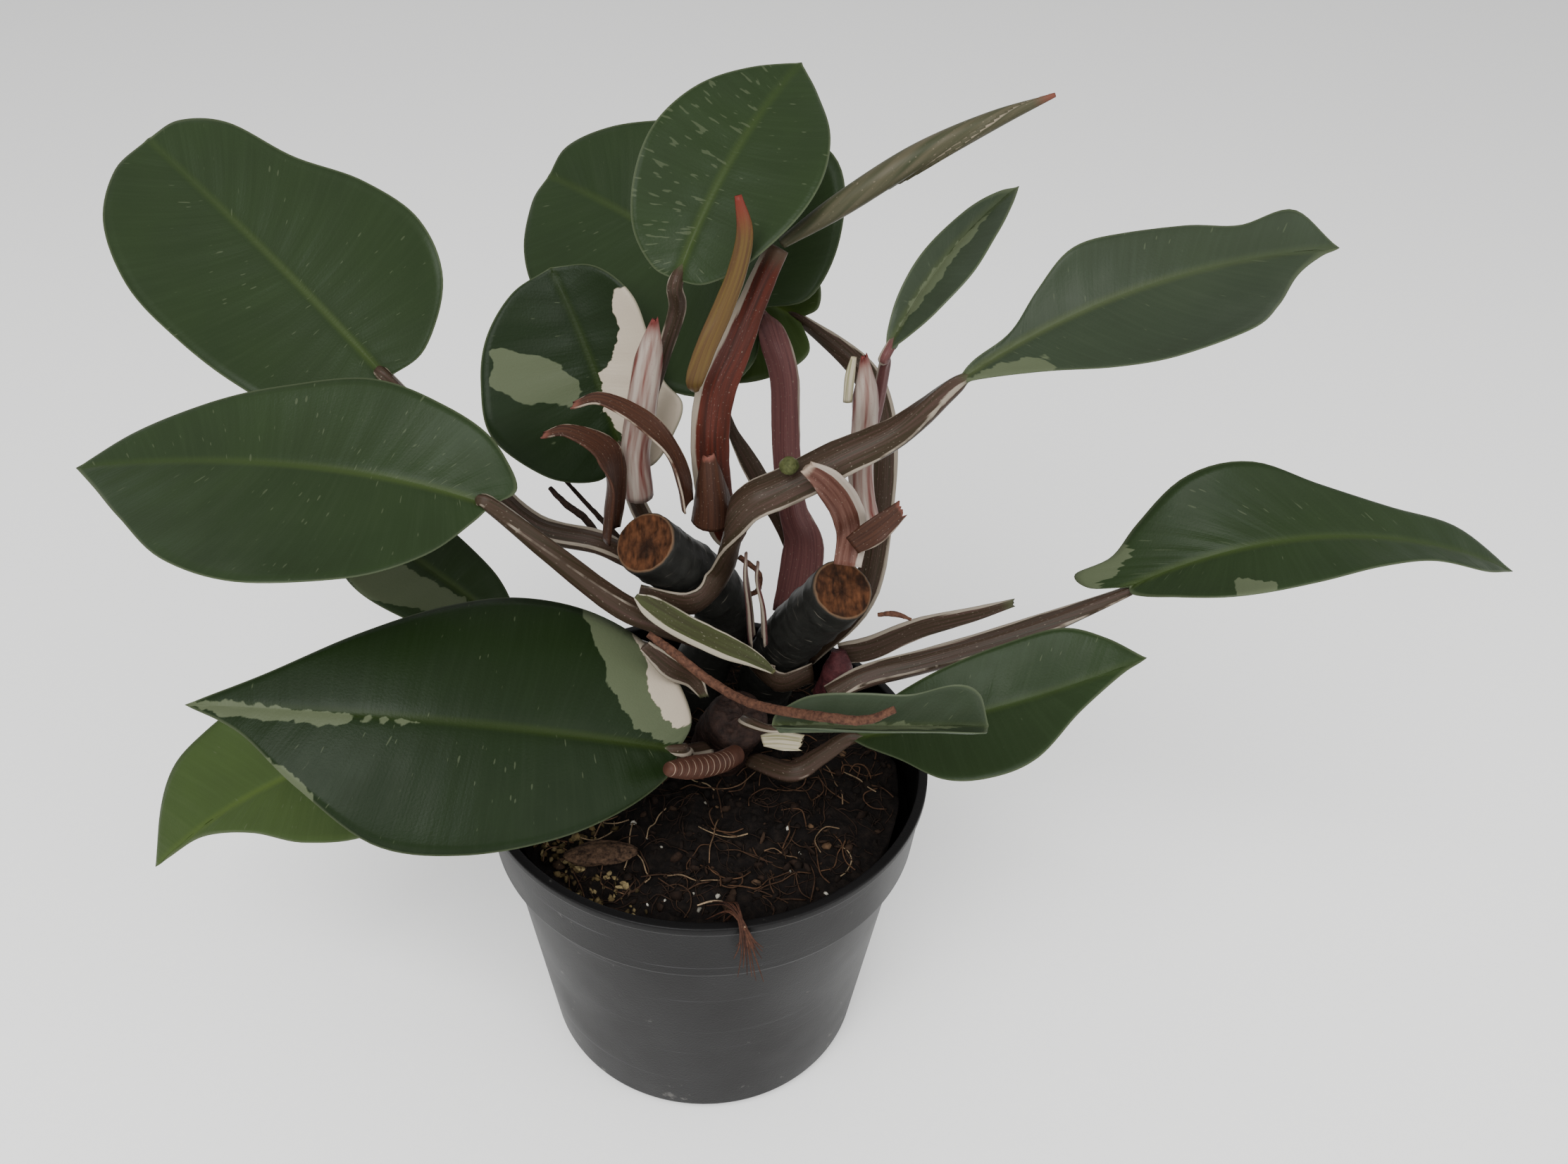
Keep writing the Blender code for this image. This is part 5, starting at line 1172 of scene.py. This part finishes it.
def ringed_material():
    """Skin of a thick aerial root, grown: satin brown, split by thin pale rings where it has stretched."""
    material, tree, shader = new_material("ringed_root_skin", 0.5)
    length = add_node(tree, "ShaderNodeAttribute", attribute_name="length").outputs["Fac"]
    place = add_node(tree, "ShaderNodeTexCoord").outputs["Object"]
    grain = add_node(tree, "ShaderNodeTexNoise", {"Vector": place, "Scale": 500.0, "Detail": 3.0}).outputs[0]
    skin = add_node(tree, "ShaderNodeMix", {0: grain, 6: linear("#2c1b15"), 7: linear("#4a3026")},
                    data_type="RGBA").outputs[2]
    wave = add_node(tree, "ShaderNodeMath", {0: length, 1: RING_SPACING}, operation="PINGPONG").outputs[0]
    ring = add_node(tree, "ShaderNodeMapRange",
                    {0: wave, 1: RING_SPACING * 0.84, 2: RING_SPACING * 0.94, 3: 0.0,
                                                 4: 0.75}).outputs[0]
    colour = add_node(tree, "ShaderNodeMix", {0: ring, 6: skin, 7: linear("#8f7c6b")},
                      data_type="RGBA").outputs[2]
    tree.links.new(colour, shader.inputs["Base Color"])
    return material


def floor_material():
    """Matt studio paper, calendered: an even pale sheet with a faint tooth that keeps its shadow soft."""
    paper = bpy.context.scene.philodendron_stage.floor
    material, tree, shader = new_material("studio_paper", 0.8)
    place = add_node(tree, "ShaderNodeTexCoord").outputs["Object"]
    tooth = add_node(tree, "ShaderNodeTexNoise", {"Vector": place, "Scale": 400.0}).outputs[0]
    shade = tuple(c * 0.97 for c in paper[:3]) + (1.0,)
    colour = add_node(tree, "ShaderNodeMix", {0: tooth, 6: paper, 7: shade}, data_type="RGBA").outputs[2]
    tree.links.new(colour, shader.inputs["Base Color"])
    return material


# ---- Operators ---------------------------------------------------------------------------------------------

class PHILODENDRON_OT_pot(bpy.types.Operator):
    """Build the moulded nursery pot with its collar and drain holes"""
    bl_idname = "philodendron.pot"
    bl_label = "Pot"

    def execute(self, context):
        wall = 1.3
        collar = 20.0
        outer_step = RIM_RADIUS - 2.0
        body_top = outer_step - 3.0
        base = 44.5
        step_height = POT_HEIGHT - collar
        outside = [
            (RIM_RADIUS - 2.5, POT_HEIGHT - 2.6), (RIM_RADIUS - 2.5, POT_HEIGHT), (RIM_RADIUS, POT_HEIGHT),
            (RIM_RADIUS, POT_HEIGHT - 2.2), (RIM_RADIUS - 0.6, POT_HEIGHT - 2.8),
            (outer_step, step_height + 0.5),
            (outer_step - 0.6, step_height - 0.4), (body_top, step_height - 1.2), (base + 1.5, 3.2),
            (base - 0.5, 0.0), (base - 3.0, 0.0), (base - 4.0, 1.0), (0.01, 1.0)]
        inside = [
            (0.01, 1.0 + wall), (base - wall - 1, 1.0 + wall), (body_top - wall, step_height - 1.0),
            (outer_step - wall, step_height + 1.5), (RIM_RADIUS - 2.4, POT_HEIGHT - 3.4)]
        rounding = sizes().rim_rounding / MM
        profile = rounded(outside, rounding) + rounded(inside, rounding)
        points, faces = lathe(profile, 160)
        pot = add_piece("live_pot", points, faces, pot_material(), ["pot"])
        for i in range(DRAIN_HOLES):
            angle = 2 * math.pi * i / DRAIN_HOLES
            middle = (DRAIN_RING * MM * math.cos(angle), DRAIN_RING * MM * math.sin(angle), 1.5 * MM)
            bpy.ops.mesh.primitive_cylinder_add(vertices=32, radius=DRAIN_RADIUS * MM, depth=8 * MM,
                                                location=middle)
            cutter = context.object
            hole = pot.modifiers.new("drain_hole", "BOOLEAN")
            hole.operation = "DIFFERENCE"
            hole.object = cutter
            with context.temp_override(object=pot, active_object=pot):
                bpy.ops.object.modifier_apply(modifier=hole.name)
            bpy.data.objects.remove(cutter, do_unlink=True)
        return {"FINISHED"}


class PHILODENDRON_OT_peat(bpy.types.Operator):
    """Build the peat with its crumbs, fibres, bark, moss and grit"""
    bl_idname = "philodendron.peat"
    bl_label = "Peat"

    def execute(self, context):
        chance = random.Random(12)
        rings, sides = 90, 240
        points = [Vector((0, 0, soil_height(0, 0)))]
        for ring in range(1, rings + 1):
            radius = SOIL_RADIUS * ring / rings
            for k in range(sides):
                angle = 2 * math.pi * k / sides
                x, y = radius * math.cos(angle), radius * math.sin(angle)
                points.append(Vector((x, y, soil_height(x, y))))
        low = SOIL_BOX[0].z / MM
        for share in (0.5, 1.0):
            height = (SOIL_PEAK - 6) * (1 - share) + low * share
            radius = SOIL_RADIUS - 9.5 * share
            for k in range(sides):
                angle = 2 * math.pi * k / sides
                points.append(Vector((radius * math.cos(angle), radius * math.sin(angle), height)))
        faces = [[0, 1 + k, 1 + (k + 1) % sides] for k in range(sides)]
        for ring in range(rings + 1):
            for k in range(sides):
                a = 1 + ring * sides + k
                b = 1 + ring * sides + (k + 1) % sides
                faces.append([a, a + sides, b + sides, b])
        last = 1 + (rings + 1) * sides
        faces.append([last + k for k in range(sides)])
        tint = colours()
        peat = grainy_material("damp_peat", tint.peat, linear("#1d1713"), 2.2, 0.92, 0.45, 0.75)
        add_piece("live_soil", points, faces, peat, ["soil"])

        def on_top(radius, spread=1.0):
            angle = chance.uniform(0, 2 * math.pi)
            reach = radius * math.sqrt(chance.random()) * spread
            return reach * math.cos(angle), reach * math.sin(angle)

        parts = []
        for i in range(sizes().crumbs):
            x, y = on_top(SOIL_RADIUS - 2.5)
            size = 0.4 + 1.3 * chance.random() ** 2.5
            parts.append(crumb((x, y, soil_height(x, y) + size * 0.1), size, chance.random() + i, 0.5))
        crumbs = tone_material("peat_crumb",
                               [(0.0, "#0f0c0a"), (0.7, "#1f1712"), (0.93, "#33251b"), (1.0, "#54402e")],
                               0.9, 0.9)
        points, faces, fields = joined(parts)
        add_piece("peat_crumbs", points, faces, crumbs, (), fields)

        parts = []
        for i in range(sizes().fibres):
            x, y = on_top(SOIL_RADIUS - 2.0)
            heading = chance.uniform(0, 2 * math.pi)
            is_root = chance.random() < 0.3
            reach = chance.uniform(4.0, 7.0) if is_root else chance.uniform(1.5, 4.5)
            girth = 0.15 if is_root else 0.09
            bend = chance.uniform(-0.7, 0.7)
            lift = 0.3
            stations = []
            for k in range(5):
                if math.hypot(x, y) > SOIL_RADIUS - 1.0:
                    break
                stations.append(((x, y, soil_height(x, y) + lift), girth + 0.08 * chance.random()))
                x += reach * math.cos(heading) * 0.6
                y += reach * math.sin(heading) * 0.6
                heading += bend + chance.uniform(-0.5, 0.5)
                lift = chance.uniform(0.1, 1.3)
            if len(stations) > 2:
                points, faces, fields = tube(stations, 5, 12)
                tone = 0.72 + 0.28 * chance.random() if is_root else 0.8 * chance.random()
                parts.append((points, faces, {"tone": [tone] * len(points)}))
        strands = tone_material("coir_strand",
                                [(0.0, "#16100c"), (0.7, "#2c1f17"), (0.94, "#523b2a"), (1.0, "#8f7c62")],
                                1.5, 0.8)
        points, faces, fields = joined(parts)
        add_piece("peat_fibres", points, faces, strands, (), fields)

        for name, count, centres, spread, size, stops, slot in (
                ("moss_tufts", 150, [(-44, -24), (-37, -31), (-31, -36), (-33, -22), (-22, -43)], 3.6, 1.0,
                 [(0.0, "#2e2616"), (0.5, "#5a4c30"), (1.0, "#857654")], "peat"),
                ("perlite_grit", 26, [(-38, -36), (-30, -42), (-14, -48), (2, -44), (30, -32), (-4, -20)],
                 9.0, 0.7,
                 [(0.0, "#6f6a60"), (0.5, "#99958a"), (1.0, "#bdb9ae")], "peat"),
                ("bark_flakes", 60, [(-20, -30), (10, -35), (28, -24), (-5, -46), (36, -5)], 12.0, 1.7,
                 [(0.0, "#17100c"), (0.7, "#291d16"), (1.0, "#4a392b")], "bark")):
            parts = []
            for i in range(count):
                cx, cy = centres[i % len(centres)]
                x, y = cx + chance.gauss(0, spread), cy + chance.gauss(0, spread)
                if math.hypot(x, y) > SOIL_RADIUS - 1.5:
                    continue
                big = size * chance.uniform(0.5, 1.3)
                flat = 0.25 if slot == "bark" else 0.6
                parts.append(crumb((x, y, soil_height(x, y) + big * 0.3), big, chance.random() + i, flat, 0.8))
            material = tone_material(name + "_stuff", stops, 0.8, 0.88)
            points, faces, fields = joined(parts)
            add_piece(name, points, faces, material, (), fields)

        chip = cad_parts["bark_chip"]
        low_corner, high_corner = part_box(chip.name)
        middle = (low_corner + high_corner) / 2 / MM
        half = (high_corner - low_corner) / 2 / MM
        points = []
        rows, sides = 40, 40
        for i in range(rows + 1):
            t = i / rows
            along = (t * 2 - 1) * half.x
            girth = math.sin(math.pi * min(max(t, 0.02), 0.98)) ** 0.45
            for k in range(sides):
                angle = 2 * math.pi * k / sides
                splinter = 1 + 0.32 * lumps((angle * 4, t * 1.4, 2.0), 1.0, 4)
                y = math.cos(angle) * half.y * girth * splinter
                z = math.sin(angle) * (half.z + 0.4) * girth * splinter
                fray = 1.2 * lumps((angle * 5, t * 2, 9.0), 1.0) * smoothstep(0.6, 1.0, abs(t * 2 - 1))
                points.append(middle + Vector((along + fray, y + 0.10 * along, z + 0.3)))
        faces = end_caps(rows, sides) + ring_walls(rows, sides)
        bark = grainy_material("pine_bark", linear("#1c1410"), linear("#4f3d2f"), 1.2, 0.9)
        add_piece("live_bark_chip", points, faces, bark, ["bark_chip"])
        return {"FINISHED"}


class PHILODENDRON_OT_stems(bpy.types.Operator):
    """Build the three leaning stems with their scars and cut tops"""
    bl_idname = "philodendron.stems"
    bl_label = "Stems"

    def execute(self, context):
        material = stem_material()
        # The front stem's wrapping of dark brown scale leaves, darkened further for the shadow among the leaf
        # bases: partly painted shade
        grown = grainy_material("scale_wrapped_bark", linear("#17100e"), linear("#2c1f1a"), 2.0, 0.65)
        for name, path in STEMS.items():
            build_stem(name, path, grown if name == "stem_front" else material, is_cut=name != "stem_front")
        return {"FINISHED"}


class PHILODENDRON_OT_blades(bpy.types.Operator):
    """Build every open leaf blade, and the young one that is still rolled"""
    bl_idname = "philodendron.blades"
    bl_label = "Blades"

    def execute(self, context):
        tint = colours()
        # The leaf green and its copies with painted shade, painted sheen and painted light; the cream blade takes
        # the copy with painted shade
        shades = {GREEN: tint.leaf, PAINTED_SHADE_GREEN: tint.leaf_dark, PAINTED_SHEEN_GREEN: tint.leaf_grey,
                  PAINTED_LIGHT_GREEN: tint.leaf_bright, CREAM: tint.leaf_dark}
        materials = {name: leaf_material("waxy_" + name, tuple(shade)) for name, shade in shades.items()}
        for leaf in LEAVES:
            build_blade(leaf, materials[leaf.colour])
        stations = [((17.5, 21.6, 230), 1.3), ((30, 18, 240), 2.8), ((45, 18, 250), 3.0), ((60, 20, 257), 2.1),
                    ((73, 21, 262), 0.5)]
        sides, rings = 40, 90
        points, faces, fields = tube(stations, sides, rings)
        places = [Vector(place) for place, radius in stations]
        for i, point in enumerate(points):
            t = (i // sides) / rings
            turn = (fields["round"][i] + 0.9 * t) % 1.0
            centre = spline(places, t)
            points[i] = centre + (point - centre) * (1.06 - 0.22 * turn)
            fields["round"][i] = turn
        count = len(points)
        fields = {"share": [turn * 2 - 1 for turn in fields["round"]],
                  "run": [(i // sides) / rings for i in range(count)],
                  "length": fields["length"], "width": [9.0] * count, "wing": [0.10] * count}
        skin = skin_material("rolled_leaf", linear("#454132"), linear("#2f3222"), linear("#7a6f60"),
                             linear("#5f372d"), 0.9, 2.0)
        add_piece("live_blade_rolled", points, faces, skin, ["blade_rolled"], fields)
        return {"FINISHED"}


def band_finish(name):
    """The finish of a stalk, sheath or scale leaf, and a slot name."""
    if name in ("petiole_rolled", "spike_narrow"):
        return ("red" if name == "petiole_rolled" else "torn"), "petiole_red"
    if name in ("petiole_back", "petiole_narrow"):
        return "maroon", "petiole_red"
    if name in ("sheath_top", "sheath_narrow"):
        return "cream", "sheath_cream"
    if name in ("sheath_torn", "sheath_low"):
        return ("torn" if name == "sheath_torn" else "olive"), "sheath_cream"
    if name == "spike_rolled":
        return "tan", "leaf_young"
    if name.startswith(("cataphyll", "strap")):
        return ("scarred" if name == "strap_left" else "brown"), "cataphyll_brown"
    if name.startswith("shoot"):
        return "maroon", "cataphyll_brown"
    return "olive", "petiole_olive"


def build_bands(starts):
    tint = colours()
    wing = linear("#80776a")
    finishes = {
        "red": skin_material("red_stalk_skin", tint.red, linear("#2f1a15"), wing, linear("#43352a"), 0.9, 2.0),
        "maroon": skin_material("maroon_stalk_skin", tint.maroon, linear("#462c2c"), wing,
                                linear("#4f403a"), 0.9),
        "olive": skin_material("olive_stalk_skin", tint.olive, linear("#3b2c26"), wing, linear("#3a3b29"), 0.9),
        "cream": skin_material("cream_sheath_skin", linear("#958a80"), linear("#5c2f2a"), linear("#7d4640"),
                               linear("#5c2a27"), 0.80, 3.2),
        "flap": skin_material("pale_flap_skin", linear("#343820"), linear("#2b2a1a"), linear("#8f8878"),
                              linear("#5a5a3c"), 0.97, 2.0),
        "torn": skin_material("torn_sheath_skin", linear("#a39a88"), linear("#6f6c4c"), linear("#aaa08e"),
                              linear("#8a8068"), 0.92),
        "tan": skin_material("tan_spike_skin", linear("#4f3f22"), linear("#43301f"), linear("#5a4c33"),
                             linear("#5a241d"), 0.78),
        "brown": skin_material("dry_scale_skin", tint.brown, linear("#2c1c16"), linear("#84786a"),
                               linear("#5f3a31"), 0.92),
        "scarred": skin_material("torn_scale_skin", linear("#43271f"), linear("#5f433a"), linear("#958b80"),
                                 linear("#8a7a6c"), 0.92, 2.0),
    }
    leaves = {leaf.name.replace("blade", "petiole"): leaf for leaf in LEAVES}
    for band in bands():
        if not band.name.startswith(starts):
            continue
        if band.name in leaves:
            leaf = leaves[band.name]
            place, ahead, sideways, normal = blade_frame(leaf, blade_length(leaf), 4.0)
            band.stations.append((tuple(place - normal * 0.9), 2.2, 1.4, 15, band.stations[-1][4]))
        finish, slot = band_finish(band.name)
        build_band(band, finishes[finish])
    if "petiole" in starts:
        flap = Band("left_stalk_flap", False, [
            ((-15.6, -18, 161.4), 1.5, 0.7, 10, FRONT), ((-12.1, -17.5, 158.2), 5.5, 0.9, 30, FRONT),
            ((-5, -17, 152.2), 6.5, 0.9, 30, FRONT), ((5, -16, 145.2), 6, 0.9, 20, FRONT),
            ((12, -14.5, 140.0), 4, 0.8, 10, FRONT), ((17, -13.5, 135.2), 1.2, 0.6, 10, FRONT)])
        build_band(flap, finishes["flap"], nodes=())
        heel = Band("stump_heel", False, [
            ((26, 38.5, 133), 5, 3, 20, FRONT), ((24.5, 39.5, 139), 6.5, 3.5, 30, FRONT),
            ((21, 41, 146), 6.5, 4, 30, FRONT), ((17.5, 42.2, 151), 6, 4, 30, FRONT)])
        build_band(heel, finishes["olive"], nodes=())


class PHILODENDRON_OT_stalks(bpy.types.Operator):
    """Build the leaf stalks with their pale wings"""
    bl_idname = "philodendron.stalks"
    bl_label = "Leaf stalks"

    def execute(self, context):
        build_bands(("petiole",))
        return {"FINISHED"}


class PHILODENDRON_OT_sheaths(bpy.types.Operator):
    """Build the sheaths, scale leaves, spikes and the small dry shoot"""
    bl_idname = "philodendron.sheaths"
    bl_label = "Sheaths and scale leaves"

    def execute(self, context):
        build_bands(("sheath", "cataphyll", "strap", "spike", "shoot"))
        return {"FINISHED"}


class PHILODENDRON_OT_roots(bpy.types.Operator):
    """Build the aerial roots, the bud and the tuft over the rim"""
    bl_idname = "philodendron.roots"
    bl_label = "Roots and bud"

    def execute(self, context):
        dry = grainy_material("dry_root", linear("#33211a"), linear("#573b2d"), 1.0, 0.75)
        maroon = grainy_material("bud_scale", linear("#2c1518"), linear("#4a2628"), 3.0, 0.5)
        dark = grainy_material("dark_root", linear("#1c1512"), linear("#33261f"), 1.0, 0.7)
        banded = ringed_material()
        knob = grainy_material("green_knob", linear("#2c3018"), linear("#4d5030"), 2.0, 0.5)
        special = {"bud_right": (maroon, "petiole_red"), "knob_right": (knob, "petiole_olive"),
                   "root_ringed": (banded, "root"), "root_upper": (dark, "root"),
                   "root_upper_thin": (dark, "root")}
        for name, stations in ROUNDS:
            ringed = name == "root_ringed"
            rings = 110 if ringed else 18 * len(stations)
            bumps = 0.05 if ringed else 0.12
            points, faces, fields = tube(stations, 20, rings, bumps, RING_SPACING if ringed else 0.0, 0.35)
            material, slot = special.get(name, (dry, "root"))
            add_piece("live_" + name, points, faces, material, [name], fields)
        chance = random.Random(5)
        top = Vector((9, -RIM_RADIUS + 0.5, POT_HEIGHT + 1.2))
        parts = []
        for i in range(16):
            spread = chance.uniform(-1, 1)
            drop = chance.uniform(5, 21)
            start = Vector((4 + chance.uniform(-4, 3), -RIM_RADIUS + chance.uniform(8, 15), POT_HEIGHT - 7.5))
            stations = [(start, 0.12), (start.lerp(top, 0.6) + Vector((0, 0, 4.0)), 0.2),
                        (top + Vector((spread * 0.8, -0.6, 0)), 0.26),
                        (Vector((10 + spread * 2.0, -RIM_RADIUS - 1.1, POT_HEIGHT - drop * 0.4)), 0.2),
                        (Vector((10.5 + spread * 4.0, -RIM_RADIUS - 0.9 + drop * 0.05, POT_HEIGHT - drop)),
                         0.1)]
            points, faces, fields = tube(stations, 6, 30)
            parts.append((points, faces, {"tone": [0.7 * chance.random()] * len(points)}))
        strand = [((-1.6, -47.6, 90.0), 0.2), ((1.8, -47.7, 91.6), 0.25), ((5.1, -49.9, 93.6), 0.25),
                  ((8.0, -56.6, 97.6), 0.25), ((9.5, -60.3, 97.4), 0.15)]
        points, faces, fields = tube(strand, 6, 40)
        parts.append((points, faces, {"tone": [1.0] * len(points)}))
        tuft = tone_material("root_tuft", [(0.0, "#33201a"), (0.7, "#4f3326"), (1.0, "#9c866c")], 1.0, 0.8)
        points, faces, fields = joined(parts)
        add_piece("live_root_fibre", points, faces, tuft, ["root_fibre"], fields)
        return {"FINISHED"}


class PHILODENDRON_OT_stage(bpy.types.Operator):
    """Lay the pale floor and set the soft lights and the camera"""
    bl_idname = "philodendron.stage"
    bl_label = "Stage"

    def execute(self, context):
        stage = context.scene.philodendron_stage
        bpy.ops.mesh.primitive_grid_add(x_subdivisions=8, y_subdivisions=8, size=8.0)
        floor = context.object
        floor.name = "studio_floor"
        floor.data.materials.append(floor_material())
        for name, place, size, power in (
                ("key_light", (-0.35, -0.9, 1.2), 1.0, stage.key_power),
                ("fill_light", (0.9, -0.6, 0.7), 0.9, stage.fill_power)):
            lamp = bpy.data.lights.new(name, "AREA")
            lamp.size = size
            lamp.energy = power
            obj = bpy.data.objects.new(name, lamp)
            obj.location = place
            obj.rotation_euler = (Vector(LIGHT_TARGET) - Vector(place)).to_track_quat("-Z", "Y").to_euler()
            context.scene.collection.objects.link(obj)
        world = bpy.data.worlds.new("even_sky")
        world.use_nodes = True
        sky = world.node_tree.nodes["Background"]
        sky.inputs["Color"].default_value = (1.0, 1.0, 1.0, 1.0)
        sky.inputs["Strength"].default_value = stage.sky
        context.scene.world = world
        lens = bpy.data.cameras.new("camera")
        lens.lens = LENS_LENGTH
        lens.sensor_width = SENSOR_WIDTH
        lens.shift_x = LENS_SHIFT
        camera = bpy.data.objects.new("camera", lens)
        camera.location = CAMERA_PLACE
        camera.rotation_euler = (math.radians(90 - CAMERA_DOWN), 0.0, 0.0)
        context.scene.collection.objects.link(camera)
        context.scene.camera = camera
        return {"FINISHED"}


BUILDERS = (PHILODENDRON_OT_pot, PHILODENDRON_OT_peat, PHILODENDRON_OT_stems, PHILODENDRON_OT_blades,
            PHILODENDRON_OT_stalks, PHILODENDRON_OT_sheaths, PHILODENDRON_OT_roots, PHILODENDRON_OT_stage)


class PHILODENDRON_PT_panel(bpy.types.Panel):
    """Sizes, colours and the operators that build each piece"""
    bl_idname = "PHILODENDRON_PT_panel"
    bl_label = "Philodendron"
    bl_space_type = "VIEW_3D"
    bl_region_type = "UI"
    bl_category = "Philodendron"

    def draw(self, context):
        for group in (context.scene.philodendron_sizes, context.scene.philodendron_colours,
                      context.scene.philodendron_stage):
            box = self.layout.box()
            for name in group.__annotations__:
                box.prop(group, name)
        for builder in BUILDERS:
            self.layout.operator(builder.bl_idname)


CLASSES = (PhilodendronSizes, PhilodendronColours, PhilodendronStage, *BUILDERS, PHILODENDRON_PT_panel)


def register():
    for item in CLASSES:
        bpy.utils.register_class(item)
    bpy.types.Scene.philodendron_sizes = bpy.props.PointerProperty(type=PhilodendronSizes)
    bpy.types.Scene.philodendron_colours = bpy.props.PointerProperty(type=PhilodendronColours)
    bpy.types.Scene.philodendron_stage = bpy.props.PointerProperty(type=PhilodendronStage)


def unregister():
    del bpy.types.Scene.philodendron_stage
    del bpy.types.Scene.philodendron_colours
    del bpy.types.Scene.philodendron_sizes
    for item in reversed(CLASSES):
        bpy.utils.unregister_class(item)


def main():
    register()
    for builder in BUILDERS:
        group, name = builder.bl_idname.split(".")
        getattr(getattr(bpy.ops, group), name)()


if __name__ == "__main__":
    main()
